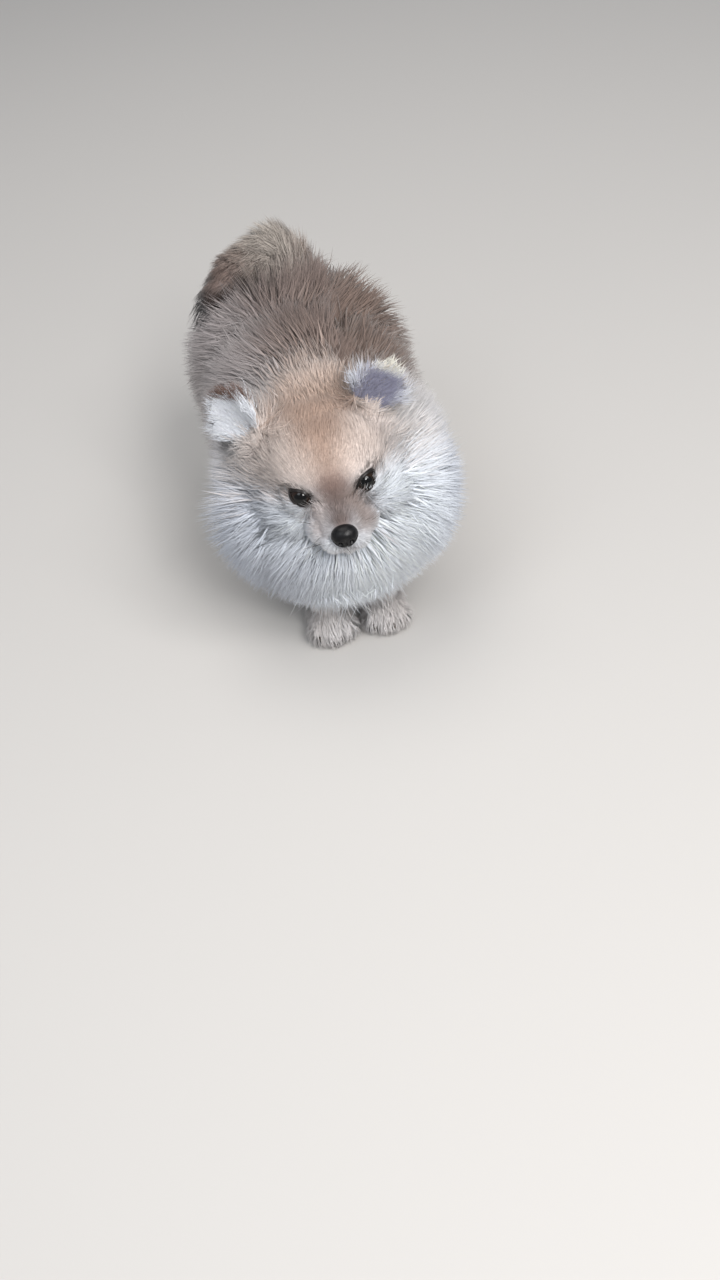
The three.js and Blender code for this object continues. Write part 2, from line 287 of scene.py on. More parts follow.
@dataclass(frozen=True)
class HairFinish:
    """Hair, or skin under hair, whose colour is the marking carried by the mesh."""

    name: str
    scale: float = 700.0
    amount: float = 0.16
    sheen: float = 0.25
    bump: float = 0.0

    def make(self, streaks: bpy.types.NodeTree) -> bpy.types.Material:
        """Builds the material on the shared streak group.

        Args:
            streaks: The shared streak group.

        Returns:
            The material.
        """
        material, graph, shader = started(self.name)
        tone = graph.add("Attribute", attribute_name=TONE_NAME).outputs["Color"]
        group = graph.add("Group", node_tree=streaks)
        graph.feed(group, {"Colour": tone, "Scale": self.scale, "Amount": self.amount})
        graph.feed(shader, {
            "Sheen Weight": self.sheen, "Sheen Roughness": 0.5, "Specular IOR Level": 0.25,
            "Base Color": group.outputs["Colour"], "Roughness": group.outputs["Roughness"],
        })
        if self.bump:
            graph.feed(shader, {"Normal": graph.bump(group.outputs["Height"], self.bump, 0.0006)})
        return material


@dataclass(frozen=True)
class PebbleFinish:
    """Dark skin with fine pebbles: nose leather, lid rims or claw horn."""

    name: str
    low: Triple
    high: Triple
    scale: float
    roughness: Pair
    bump: float
    coat: float = 0.0
    stretch: Triple = (1.0, 1.0, 1.0)

    def make(self) -> bpy.types.Material:
        """Builds the material.

        Returns:
            The material.
        """
        material, graph, shader = started(self.name)
        mapped = graph.add("Mapping", {"Vector": graph.place(), "Scale": self.stretch}).outputs["Vector"]
        cells = graph.add("TexVoronoi", {"Vector": mapped, "Scale": self.scale}, feature="SMOOTH_F1")
        grain = {"Vector": mapped, "Scale": self.scale * 0.35, "Detail": 4.0}
        noise = graph.add("TexNoise", grain).outputs["Fac"]
        graph.feed(shader, {
            "Coat Weight": self.coat, "Coat Roughness": 0.18, "Specular IOR Level": 0.22,
            "Base Color": graph.ramp(noise, ((0.3, self.low), (0.75, self.high))),
            "Roughness": graph.span(noise, self.roughness),
            "Normal": graph.bump(cells.outputs["Distance"], self.bump, 0.0004, invert=True),
        })
        return material


@dataclass(frozen=True)
class EyeFinish:
    """A dark wet eye: black pupil, deep brown iris and a blackish rim, in rings about the axis of sight."""

    name: str
    centre: Triple
    sight: Triple
    radius: float
    rings: Stops = (
        (0.0, (0.16, 0.12, 0.10)), (0.46, (0.012, 0.008, 0.006)), (0.60, (0.016, 0.008, 0.005)),
        (0.84, (0.026, 0.012, 0.006)), (0.90, (0.002, 0.002, 0.002)),
    )

    def make(self) -> bpy.types.Material:
        """Builds the material.

        Returns:
            The material.
        """
        material, graph, shader = started(self.name)
        place = graph.place()
        offset = graph.add("VectorMath", {0: place, 1: self.centre}, operation="SUBTRACT").outputs[0]
        facing = tuple(v / self.radius for v in self.sight)
        ahead = graph.add("VectorMath", {0: offset, 1: facing}, operation="DOT_PRODUCT").outputs["Value"]
        noise = graph.add("TexNoise", {"Vector": place, "Scale": 900.0})
        fibres = graph.add("Mix", data_type="RGBA", blend_type="MULTIPLY")
        graph.feed(fibres, {"Factor": 0.5, "A": graph.ramp(ahead, self.rings), "B": noise.outputs["Color"]})
        graph.feed(shader, {
            "Coat Weight": 0.6, "Coat Roughness": 0.02, "Specular IOR Level": 0.12,
            "Base Color": fibres.outputs["Result"],
            "Roughness": graph.span(noise.outputs["Fac"], (0.04, 0.12)),
        })
        return material


# Markings


@dataclass(frozen=True)
class Marking:
    """A patch of one colour, soft at its edge, about a point or a line. A pair has it on both sides."""

    colour: Triple
    reach: float
    a: Triple
    b: Triple | None = None
    strength: float = 1.0
    pair: bool = False

    def weight(self, points: np.ndarray) -> np.ndarray:
        """How much each point takes of this colour."""
        distance, _ = along(folded(points) if self.pair else points, self.a, self.b or self.a)
        return self.strength * np.exp(-((distance / self.reach) ** 2))


TAN = (0.425, 0.295, 0.23)
CROWN = (0.52, 0.385, 0.31)
PALE_TAN = (0.78, 0.665, 0.60)
STOP_BROWN = (0.19, 0.115, 0.09)
MUZZLE_TAN = (0.25, 0.18, 0.148)
BRIDGE_TAN = (0.135, 0.09, 0.074)
MUZZLE_CREAM = (0.58, 0.48, 0.44)
# Grey of the lip edge and of painted shade under the muzzle.
LIP_AND_SHADE_GREY = (0.24, 0.215, 0.225)
CREAM = (0.72, 0.695, 0.69)
WHITE = (0.82, 0.865, 0.93)
# Bluish grey of painted shade on the ruff's sides.
RUFF_SHADE = (0.475, 0.505, 0.575)
TAUPE = (0.18, 0.137, 0.122)
UMBER = (0.19, 0.135, 0.11)
# Grey sable with the grey cast of painted shade, for the dog's right flank.
FLANK_SHADE_GREY = (0.40, 0.36, 0.355)
PLUME = (0.45, 0.405, 0.36)
BEIGE = (0.50, 0.455, 0.43)
PAW = (0.64, 0.60, 0.58)
SMOKE = (0.15, 0.10, 0.083)
TAIL_BROWN = (0.22, 0.155, 0.13)
# Near-black of whiskers and soles, also used for painted shadow under the tail's tip.
BLACK_AND_SHADOW = (0.045, 0.035, 0.032)
LID = (0.035, 0.026, 0.023)
EAR_PALE = (0.82, 0.84, 0.89)
# Violet grey of painted shade deep in the left ear's cup.
EAR_CUP_SHADE = (0.30, 0.30, 0.40)
EAR_RIM = (0.84, 0.81, 0.72)
EAR_TIP = (0.15, 0.09, 0.07)
EAR_EDGE = (0.09, 0.06, 0.05)

HEAD_MARKINGS = (
    Marking(TAN, 22, (0, 20, 34), (0, 46, 34)),
    Marking(TAN, 14, (0, 8, 26)),
    Marking(STOP_BROWN, 8.0, (0, -5, 10), strength=2.2),
    Marking(SMOKE, 5.0, (0, -5, 5), strength=1.8),
    Marking(PALE_TAN, 12, (17, 8, 22), (30, 22, 22), strength=1.2, pair=True),
    Marking(PALE_TAN, 13, (34, 14, 16), (50, 30, 16), strength=1.2, pair=True),
    Marking(PALE_TAN, 14, (36, 34, 24), (42, 46, 26), pair=True),
    # Painted light: extra pale tan on the dog's right temple only, lifting the shade on the side away from
    # the key light.
    Marking(PALE_TAN, 13, (-35, 12, 11), (-48, 28, 10), strength=1.2),
    Marking(BRIDGE_TAN, 7.0, (0, -12, -1), (0, -19, -5), strength=2.6),
    # Grey along the muzzle's lower edge: dark lip edge with painted shade where the muzzle meets the ruff.
    Marking(LIP_AND_SHADE_GREY, 2.6, (0, -29, -28), (20, -13, -28), strength=2.6, pair=True),
    Marking(SMOKE, 4.2, (0, -24, -6), strength=4.0),
    Marking(MUZZLE_TAN, 8.5, (11, -6, -4), (16, -13, -15), strength=3.6),
    Marking(MUZZLE_CREAM, 8, (-11, -6, -4), (-14, -12, -14), strength=2.4),
    Marking(CREAM, 6, (8, -22, -27), (18, -12, -26), strength=1.6, pair=True),
    Marking(CREAM, 9, (0, -20, -36), strength=1.6),
    Marking(CREAM, 17, (62, 34, 6), (60, 46, 14), strength=1.6, pair=True),
    Marking(WHITE, 9, (27, 0, -8), strength=1.8, pair=True),
    Marking(WHITE, 26, (42, 6, -24), strength=1.3, pair=True),
    # Painted light: extra white on the dog's right cheek only, lifting the shade on the side away from the
    # key light.
    Marking(WHITE, 13, (-30, -4, -20), (-44, 4, -30), strength=1.5),
    Marking(UMBER, 1.7, (29, 4, 7), (47, 18, 13), strength=3.6, pair=True),
    Marking(SMOKE, 2.2, (13.5, -4, 1), (12, -8, -6), strength=4.0, pair=True),
)
BODY_MARKINGS = (
    Marking(CROWN, 22, (-8, -50, 184), (-6, -24, 190), strength=1.2),
    Marking(PALE_TAN, 18, (-6, -34, 190), (-4, -20, 190), strength=0.7),
    Marking(TAUPE, 34, (0, 26, 190), (6, 80, 196), strength=1.2),
    Marking(UMBER, 12, (2, 22, 192), (10, 50, 194), strength=1.4),
    Marking(UMBER, 30, (52, 0, 176), (64, 96, 160), strength=1.1),
    # Grey sable on the dog's right flank, greyed further as painted shade on the side away from the key
    # light.
    Marking(FLANK_SHADE_GREY, 38, (-70, 0, 152), (-72, 90, 140), strength=1.1),
    Marking(TAUPE, 40, (0, 150, 150)),
    Marking(PLUME, 21, (-6, 116, 204), (-18, 122, 208), strength=3.2),
    Marking(SMOKE, 13, (24, 116, 202), (36, 86, 193), strength=2.0),
    Marking(TAIL_BROWN, 12, (-56, 108, 184), (-36, 114, 192), strength=3.0),
    # Dark tip fur with painted shadow: a near-black band on the body under the tail's tip, where the tail
    # lies on the coat.
    Marking(BLACK_AND_SHADOW, 5.5, (-42, 88, 183), (-14, 75, 192), strength=4.0),
    Marking(BEIGE, 40, (84, 40, 84), (80, 110, 70), strength=0.7, pair=True),
    Marking(CREAM, 34, (0, 0, 40), (0, 90, 40)),
    Marking(CREAM, 30, (30, 150, 80), strength=0.8, pair=True),
    Marking(WHITE, 46, (-6, -140, 80), strength=1.2),
    # Painted shade: bluish grey on both sides of the ruff, and more on the dog's right side, away from the
    # key light.
    Marking(RUFF_SHADE, 36, (86, -72, 96), strength=1.1, pair=True),
    Marking(RUFF_SHADE, 26, (-68, -92, 108), (-58, -112, 80), strength=1.5),
    Marking(CREAM, 26, (66, -44, 150), strength=0.8, pair=True),
    Marking(PAW, 20, (26, -88, 36), (24, -100, 14), strength=2.0, pair=True),
    Marking(PAW, 22, (34, 110, 36), (34, 92, 14), strength=2.0, pair=True),
)


def marked(work: np.ndarray) -> np.ndarray:
    """The colour of hair that grows at each working point.

    Args:
        work: Working points, one a row.

    Returns:
        A colour for each point.
    """
    total = np.full(len(work), 1e-6)
    colour = np.tile(np.array(BEIGE) * 1e-6, (len(work), 1))
    for points, markings in ((on_head(work), HEAD_MARKINGS), (work, BODY_MARKINGS)):
        for marking in markings:
            weight = marking.weight(points)
            total += weight
            colour += weight[:, None] * np.array(marking.colour)
    return colour / total[:, None]


# Meshes


def search_tree(mesh: bpy.types.Mesh) -> BVHTree:
    """A search tree of one mesh."""
    faces = [tuple(face.vertices) for face in mesh.polygons]
    return BVHTree.FromPolygons([vertex.co for vertex in mesh.vertices], faces)


def added(name: str, data: bpy.types.ID) -> bpy.types.Object:
    """A new object in the scene.

    Args:
        name: The object's name.
        data: Its mesh, lamp or camera.

    Returns:
        The object.
    """
    made = bpy.data.objects.new(name, data)
    bpy.context.collection.objects.link(made)
    return made


def mesh_object(name: str, points: np.ndarray, faces: list[tuple[int, ...]]) -> bpy.types.Object:
    """A new object from points in metres and faces, with its normals turned outwards.

    Args:
        name: The object's name.
        points: Its points, in metres.
        faces: The points of each face.

    Returns:
        The object.
    """
    mesh = bpy.data.meshes.new(name)
    mesh.from_pydata([tuple(p) for p in points], [], faces)
    shape = bmesh.new()
    shape.from_mesh(mesh)
    bmesh.ops.recalc_face_normals(shape, faces=shape.faces)
    shape.to_mesh(mesh)
    shape.free()
    return added(name, mesh)


def bands(loops: list[int], turns: int) -> list[tuple[int, ...]]:
    """The faces between neighbouring loops of points, each loop given by its first point.

    Args:
        loops: The first point of each loop.
        turns: How many points a loop has.

    Returns:
        The faces.
    """
    found = []
    for a, b in zip(loops, loops[1:]):
        for turn in range(turns):
            n = (turn + 1) % turns
            found.append((a + turn, a + n, b + n, b + turn))
    return found


def only(made: bpy.types.Object) -> None:
    """Selects one object and makes it active.

    Args:
        made: The object.
    """
    bpy.ops.object.select_all(action="DESELECT")
    made.select_set(True)
    bpy.context.view_layer.objects.active = made


def modified(made: bpy.types.Object, kind: str, **settings: float | str | bool) -> None:
    """Adds a modifier and applies it.

    Args:
        made: The object.
        kind: The modifier's type.
        settings: Its settings.
    """
    only(made)
    modifier = made.modifiers.new(kind.lower(), kind)
    for name, value in settings.items():
        setattr(modifier, name, value)
    bpy.ops.object.modifier_apply(modifier=modifier.name)


def settled(made: bpy.types.Object, slot: str, material: bpy.types.Material, *nodes: str) -> None:
    """Gives a piece its material and body, and hides the nodes that it stands for.

    Args:
        made: The piece.
        slot: Its slot; not used.
        material: Its material.
        nodes: The nodes that it stands for.
    """
    made.data.materials.clear()
    made.data.materials.append(material)
    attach(made, "root")
    if nodes:
        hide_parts(*nodes)
    LOG.info("%s: %d faces", made.name, len(made.data.polygons))


def smoothed(made: bpy.types.Object) -> None:
    """Shades a piece smooth."""
    only(made)
    bpy.ops.object.shade_smooth()


def column(items: bpy.types.bpy_prop_collection, name: str, width: int, kind: type = float) -> np.ndarray:
    """One property of every item of a mesh, one item a row.

    Args:
        items: The mesh's items.
        name: The property's name.
        width: How many values an item has.
        kind: The type of a value.

    Returns:
        The values.
    """
    values = np.empty(len(items) * width, kind)
    items.foreach_get(name, values)
    return values.reshape(-1, width)


def coordinates(mesh: bpy.types.Mesh) -> np.ndarray:
    """The vertices' places, one a row."""
    return column(mesh.vertices, "co", 3)


def reshape(mesh: bpy.types.Mesh, work: np.ndarray) -> None:
    """Moves the vertices to working points."""
    mesh.vertices.foreach_set("co", to_row(work).ravel())
    mesh.update()


def put_tone(mesh: bpy.types.Mesh, colours: np.ndarray) -> None:
    """Stores a colour for each vertex under the marking's name.

    Args:
        mesh: The mesh.
        colours: A colour for each vertex.
    """
    layer = mesh.color_attributes.new(name=TONE_NAME, type="FLOAT_COLOR", domain="POINT")
    full = np.ones((len(colours), 4), np.float32)
    full[:, :3] = colours
    layer.data.foreach_set("color", full.ravel())


# Body


@dataclass(frozen=True)
class Mass:
    """A rounded mass of flesh: an ellipsoid, or a limb between two balls."""

    a: Triple
    size: Triple
    b: Triple | None = None
    end: float = 0.0
    on_head: bool = False

    def beads(self) -> Iterable[tuple[Vector, Triple]]:
        """The balls that make up the mass, each a centre and its three radii.

        Returns:
            Each ball in turn.
        """
        if self.b is None:
            yield Vector(self.a), self.size
            return
        reach = (Vector(self.b) - Vector(self.a)).length
        count = max(2, int(reach / max(1.2, 0.28 * min(self.size[0], self.end))))
        for step in range(count + 1):
            t = step / count
            r = self.size[0] * (1 - t) + self.end * t
            yield Vector(self.a).lerp(Vector(self.b), t), (r, r, r)

    def build(self) -> list[bpy.types.Object]:
        """Adds the balls to the scene.

        Returns:
            The balls' objects.
        """
        made = []
        turn = HEAD if self.on_head else Matrix.Identity(4)
        for centre, radii in self.beads():
            bpy.ops.mesh.primitive_ico_sphere_add(
                subdivisions=4, radius=1.0, location=Vector(to_row(np.array(turn @ centre))),
                rotation=turn.to_euler(), scale=[r * MM for r in radii],
            )
            made.append(bpy.context.object)
        return made


def limb(a: Triple, b: Triple, start: float, end: float, on_head: bool = False) -> Mass:
    """A limb between two balls."""
    return Mass(a, (start, start, start), b, end, on_head)


EAR_PLACE = {Side.RIGHT: ((-48, 47, 28), (-36, 40, 10)), Side.LEFT: ((36, 46, 28), (-4, 39, -6))}


@dataclass(frozen=True)
class Ear:
    """A cupped leaf that leans out and back from the crown."""

    side: Side
    length: float = 40.0
    width: float = 42.0
    cup: float = 7.0
    inset: float = 2.4
    wall: float = 3.6
    foot: float = 8.0
    rows: int = 18
    columns: int = 14

    @property
    def frame(self) -> Matrix:
        """The ear's own frame in the working frame: z to the tip, -y out of the cup.

        Returns:
            The frame as a matrix.
        """
        sign = self.side.value
        base, (back, out, opened) = EAR_PLACE[self.side]
        return HEAD @ Matrix.Translation(base) @ degrees(back, sign * out, sign * opened)

    def seen(self, work: np.ndarray) -> np.ndarray:
        """Working points in the ear's frame."""
        return apply(self.frame.inverted(), work)

    def point(self, face: int, t: float, u: float) -> Triple:
        """A place on the leaf's front or back, by its shares of the way to the tip and to the edge.

        Args:
            face: -1 on the front and 1 on the back.
            t: The share of the way to the tip.
            u: The share of the way to the edge, from -1 to 1.

        Returns:
            The place in the ear's frame.
        """
        leaf = (1 - t**2.1) ** 0.62 * (0.40 + 0.60 * min(1.0, t / 0.5))
        half = (self.width / 2 - self.inset) * leaf + 0.8
        edge = 1 - u * u
        wall = self.wall / 2 * edge**0.3 * (1 - 0.35 * t) + 0.4
        rise = (self.length - self.inset) * t - self.foot
        return self.side.value * u * half, self.cup * edge * (1 - 0.75 * t) + face * wall, rise

    def build(self) -> bpy.types.Object:
        """Adds the ear's closed shape to the scene.

        Returns:
            The closed shape.
        """
        rows, columns = range(self.rows), range(self.columns)
        sheets = [
            self.point(face, row / self.rows, 2 * column / self.columns - 1)
            for face in (-1, 1) for row in range(self.rows + 1) for column in range(self.columns + 1)
        ]
        at = np.arange(len(sheets)).reshape(2, self.rows + 1, self.columns + 1).tolist()
        faces = []
        for r in rows:
            for c in columns:
                for s in (0, 1):
                    faces.append((at[s][r][c], at[s][r][c + 1], at[s][r + 1][c + 1], at[s][r + 1][c]))
            for c in (0, self.columns):
                faces.append((at[0][r][c], at[0][r + 1][c], at[1][r + 1][c], at[1][r][c]))
        for c in columns:
            for r in (0, self.rows):
                faces.append((at[0][r][c], at[0][r][c + 1], at[1][r][c + 1], at[1][r][c]))
        return mesh_object(f"ear_shape_{self.side.word}", to_row(apply(self.frame, np.array(sheets))), faces)


@dataclass(frozen=True)
class Leg:
    """A leg and its foot with four toes, flat underneath."""

    fore: bool
    side: Side
    x: float
    y: float
    scale: float = 1.0
    inset: float = 1.2
    toe_pitch: float = 7.2

    def toes(self) -> list[Triple]:
        """The middles of the toes, from the dog's right to its left.

        Returns:
            A place for each toe.
        """
        s, x, y = self.scale, self.x, self.y
        across = (-1.5, -0.5, 0.5, 1.5)
        return [(x + n * self.toe_pitch * s, y - (11.5 - n * n * 1.7) * s, 8.0 * s) for n in across]

    def masses(self) -> list[Mass]:
        """The leg's masses, foot included.

        Returns:
            The masses.
        """
        s, x, y, size, i = self.side.value, self.x, self.y, self.scale, self.inset
        if self.fore:
            wrist = (x, y + 6, 46)
            bones = [limb((x, y + 3, 13), wrist, 9.5, 9.5), limb(wrist, (s * 30, y + 36, 76), 10, 20)]
        else:
            hock = (x + s * 2, y + 24, 50)
            bones = [limb((x, y + 5, 13), hock, 9.0, 9.0), limb(hock, (s * 38, y + 2, 78), 10, 24)]
        pad = Mass((x, y + 3 * size, 10.5 * size), (15.5 * size - i - 1, 16 * size - i, 13 * size - i))
        toe = (5.3 * size - i * 0.6, 8.6 * size - i, 8.6 * size - i)
        return bones + [pad] + [Mass(place, toe) for place in self.toes()]


LEGS = (
    Leg(True, Side.RIGHT, -22, -101),
    Leg(True, Side.LEFT, 19, -99),
    Leg(False, Side.RIGHT, -35, 94, 0.95),
    Leg(False, Side.LEFT, 35, 90, 0.95),
)
TAIL_LINE = ((4, 96, 150), (2, 126, 176), (-10, 130, 188), (-38, 112, 186), (-55, 100, 176))
TAIL_RADII = (9, 9, 8, 7, 4.5)


@dataclass(frozen=True)
class Mouth:
    """The closed line of the lips, down from the nose and round to each corner."""

    line: tuple[Triple, ...] = (
        (0, -28.5, -22), (0, -27.5, -29), (7, -25.5, -31), (14, -18.5, -30), (20, -10, -27), (22, -7, -25),
    )
    width: float = 1.6
    depth: float = 1.7

    def distance(self, head: np.ndarray) -> np.ndarray:
        """How far points in the head's frame are from the line of the lips."""
        return np.min([along(folded(head), a, b)[0] for a, b in zip(self.line, self.line[1:])], axis=0)

    def part_skin(self, head: np.ndarray) -> np.ndarray:
        """Sinks the skin along the lips."""
        sink = self.depth * np.exp(-((self.distance(head) / self.width) ** 2))
        return head + unit(np.array([0.0, -2.0, -24.0]) - head) * sink[:, None]

    def darken(self, head: np.ndarray, colour: np.ndarray) -> np.ndarray:
        """Darkens colours along the lips."""
        return blend(colour, LID, np.clip(np.exp(-((self.distance(head) / 1.7) ** 2)) * 1.2, 0, 1))


@dataclass(frozen=True)
class Eye:
    """An eye and its lids, in the head's frame. The opening is measured in degrees off the line of sight."""

    side: Side
    centre: Triple = (20.5, 1.5, 3.0)
    radius: float = 8.8
    outward: float = 13.0
    upward: float = 23.0
    slant: float = 31.0
    half_width: float = 60.0
    half_height: float = 28.0
    bend: float = 1.5
    lid: float = 0.55
    lid_reach: float = 1.75
    skin_edge: float = 1.28
    skin_lift: float = 0.55
    skin_sink: float = 2.2
    skin_reach: float = 9.0

    @property
    def middle(self) -> np.ndarray:
        """The eyeball's centre."""
        x, y, z = self.centre
        return np.array([self.side.value * x, y, z])

    def axes(self) -> tuple[np.ndarray, np.ndarray, np.ndarray]:
        """The line of sight, and the ways to the outer corner and to the brow.

        Returns:
            The three ways, each of length 1.
        """
        out, up, tilt = math.radians(self.outward), math.radians(self.upward), math.radians(self.slant)
        s = self.side.value
        sight = np.array([s * math.sin(out) * math.cos(up), -math.cos(out) * math.cos(up), math.sin(up)])
        across = unit(np.cross([0, 0, 1.0], sight) * s)
        across = across if across[0] * s > 0 else -across
        brow = unit(np.cross(sight, across))
        brow = brow if brow[2] > 0 else -brow
        corner = across * math.cos(tilt) + brow * math.sin(tilt)
        return sight, corner, brow * math.cos(tilt) - across * math.sin(tilt)

    def limit(self, c: np.ndarray | float, s: np.ndarray | float) -> np.ndarray:
        """How far the opening reaches, by the cosine and sine of the way round it.

        Args:
            c: The cosine of the way round.
            s: Its sine.

        Returns:
            The reach, in degrees off the line of sight.
        """
        wide = np.where(c > 0, self.half_width, self.half_width * 1.02)
        tall = np.where(s > 0, self.half_height, self.half_height * 0.9)
        return ((np.abs(c) / wide) ** self.bend + (np.abs(s) / tall) ** self.bend) ** (-1 / self.bend)

    def opening(self, head: np.ndarray) -> tuple[np.ndarray, np.ndarray]:
        """Where points lie against the opening.

        Args:
            head: Points in the head's frame.

        Returns:
            Each point's distance from the eyeball's centre, and its angle off the line of sight as a
            share of the opening's in that direction.
        """
        sight, across, brow = self.axes()
        offset = head - self.middle
        way = unit(offset)
        off = np.degrees(np.arccos(np.clip(way @ sight, -1, 1)))
        c, s = way @ across, way @ brow
        flat = np.maximum(np.hypot(c, s), 1e-6)
        return size_of(offset), off / self.limit(c / flat, s / flat)

    def part_skin(self, head: np.ndarray) -> np.ndarray:
        """Opens the skin over the eye and lays it over the rest of the ball.

        Args:
            head: The skin's points in the head's frame.

        Returns:
            The moved points.
        """
        reach, share = self.opening(head)
        cover = self.radius + self.skin_lift + 0.5 * smooth(1.2, 2.0, share)
        sunk, laid = np.minimum(self.radius - self.skin_sink, reach), np.maximum(reach, cover)
        wanted = np.where(share < self.skin_edge, sunk, laid)
        near = (reach < self.radius + self.skin_reach) & ((head - self.middle) @ self.axes()[0] > -2)
        return self.middle + unit(head - self.middle) * np.where(near, wanted, reach)[:, None]

    def ball(self) -> None:
        """Builds the eyeball, with the cornea's bulge."""
        centre = to_row(apply(HEAD, self.middle[None]))[0]
        size = self.radius * MM
        bpy.ops.mesh.primitive_ico_sphere_add(subdivisions=5, radius=size, location=Vector(centre))
        made = bpy.context.object
        made.name = made.data.name = f"eyeball_{self.side.word}"
        bpy.ops.object.transform_apply(location=True, rotation=True, scale=True)
        way = unit(on_head(to_work(coordinates(made.data))) - self.middle)
        bulge = 0.55 * smooth(0.72, 1.0, way @ self.axes()[0]) - 0.25
        reshape(made.data, apply(HEAD, self.middle + way * (self.radius + bulge)[:, None]))
        smoothed(made)
        sight = np.array(HEAD)[:3, :3] @ self.axes()[0]
        finish = EyeFinish(f"eye_{self.side.word}", tuple(centre), tuple(sight), size)
        settled(made, "eye_gloss", finish.make(), f"eye_{self.side.word}")

    def round(self, share: float, lift: float, turns: int) -> list[np.ndarray]:
        """A loop of points round the opening.

        Args:
            share: How far out it lies, as a share of the opening.
            lift: Its height over the eyeball.
            turns: How many points it has.

        Returns:
            The points in the head's frame.
        """
        sight, across, brow = self.axes()
        found = []
        for angle in (2 * math.pi * turn / turns for turn in range(turns)):
            c, s = math.cos(angle), math.sin(angle)
            off = math.radians(self.limit(c, s) * share)
            way = sight * math.cos(off) + (across * c + brow * s) * math.sin(off)
            found.append(self.middle + way * (self.radius + lift))
        return found

    def lids(self, finish: bpy.types.Material) -> None:
        """Builds the lids: a close rim round the opening that runs out under the skin.

        Args:
            finish: The lids' material.
        """
        rings, turns = 12, 72
        points = self.round(1.04, -0.9, turns)
        for t in (ring / (rings - 1) for ring in range(1, rings)):
            share = 1.0 + (self.lid_reach - 1.0) * max(0.0, (t - 0.25) / 0.75)
            rise = self.lid * math.sin(min(1.0, t / 0.5) * math.pi / 2) + 0.12
            points += self.round(share, rise - 0.9 * max(0.0, (t - 0.55) / 0.45) ** 2, turns)
        points += self.round(self.lid_reach, -1.6, turns)
        faces = bands([ring * turns for ring in (*range(rings + 1), 0)], turns)
        made = mesh_object(f"lids_{self.side.word}", to_row(apply(HEAD, np.array(points))), faces)
        smoothed(made)
        settled(made, "nose_leather", finish)


@dataclass
class Skin:
    """The dog's one skin, under the coat, over head, body, legs, feet, ears and tail."""

    voxel: float = 1.45
    smoothing: int = 7
    sole_height: float = 2.0
    sole_slope: float = 0.6
    shadow: float = 0.95

    def masses(self) -> list[Mass]:
        """The masses of flesh that the skin covers.

        Returns:
            The masses of head, body, legs and tail.
        """
        found = [
            Mass((0, 24, 4), (35, 34, 28), on_head=True),
            Mass((0, 42, 2), (42, 24, 24), on_head=True),
            limb((0, 2, -12), (0, -13, -16.5), 18.0, 13.0, on_head=True),
            limb((0, 2, -32), (0, -15, -33), 10, 6.0, on_head=True),
            Mass((-1, -30, 110), (60, 62, 56)),
            Mass((-1, 30, 113), (59, 62, 54)),
            Mass((-2, 92, 117), (64, 58, 58)),
            Mass((-5, -82, 94), (46, 36, 42)),
            limb((-2, -52, 130), (-8, -80, 138), 46, 40),
        ]
        for s in (-1, 1):
            found += [
                Mass((s * 23, 14, -14), (17, 18, 15), on_head=True),
                Mass((s * 13, 4, 12), (10, 7.5, 6), on_head=True),
                Mass((s * 6.5, -18, -24), (8.5, 9, 7.5), on_head=True),
                Mass((s * 12.5, -9, -21), (9.5, 10, 9.5), on_head=True),
                Mass((s * 38, -64, 98), (30, 34, 38)),
                Mass((s * 36, 100, 90), (32, 38, 38)),
            ]
        for x, y, z in (base for base, _ in EAR_PLACE.values()):
            found.append(limb((x * 0.70, y + 1, 4), (x * 0.98, y + 3, z - 9), 8.5, 5.6, on_head=True))
        for leg in LEGS:
            found += leg.masses()
        return found + [limb(*ends) for ends in zip(TAIL_LINE, TAIL_LINE[1:], TAIL_RADII, TAIL_RADII[1:])]

    def shape(self) -> bpy.types.Object:
        """Joins the masses and the ears in one smooth closed skin.

        Returns:
            The skin.
        """
        parts = [piece for mass in self.masses() for piece in mass.build()]
        parts += [Ear(side).build() for side in Side]
        bpy.ops.object.select_all(action="DESELECT")
        for part in parts:
            part.select_set(True)
        bpy.context.view_layer.objects.active = parts[0]
        bpy.ops.object.join()
        skin = bpy.context.object
        skin.name = skin.data.name = "skin"
        bpy.ops.object.transform_apply(location=True, rotation=True, scale=True)
        modified(skin, "REMESH", mode="VOXEL", voxel_size=self.voxel * MM, use_smooth_shade=True)
        modified(skin, "SMOOTH", factor=0.5, iterations=self.smoothing)
        return skin

    def build(self, eyes: list[Eye], mouth: Mouth, finish: bpy.types.Material) -> bpy.types.Object:
        """Builds the skin, shapes its face and colours it.

        Args:
            eyes: The eyes that the lids close on.
            mouth: The line of the lips.
            finish: The skin's material.

        Returns:
            The skin.
        """
        skin = self.shape()
        head = on_head(to_work(coordinates(skin.data)))
        for eye in eyes:
            head = eye.part_skin(head)
        head = mouth.part_skin(head)
        work = apply(HEAD, head)
        flat = SOLE_Z + np.maximum(work[:, 2] - SOLE_Z, 0) * self.sole_slope
        work[:, 2] = np.where(work[:, 2] < self.sole_height, flat, work[:, 2])
        reshape(skin.data, work)
        colour = blend(marked(work), BLACK_AND_SHADOW, smooth(3.0, 1.0, work[:, 2]))
        for eye in eyes:
            reach, off = eye.opening(head)
            colour = blend(colour, LID, smooth(1.62, 1.4, off) * (reach < eye.radius + 3))
        put_tone(skin.data, mouth.darken(head, colour * self.shadow))
        only(skin)
        bpy.ops.object.mode_set(mode="EDIT")
        bpy.ops.mesh.select_all(action="SELECT")
        bpy.ops.uv.smart_project(angle_limit=math.radians(70), island_margin=0.002)
        bpy.ops.object.mode_set(mode="OBJECT")
        skin.data.uv_layers[0].name = UV_NAME
        flesh = [n for n in frame["nodes"] if not n.startswith(("eye", "nose", "claw"))]
        settled(skin, "cream_coat", finish, *flesh)
        return skin


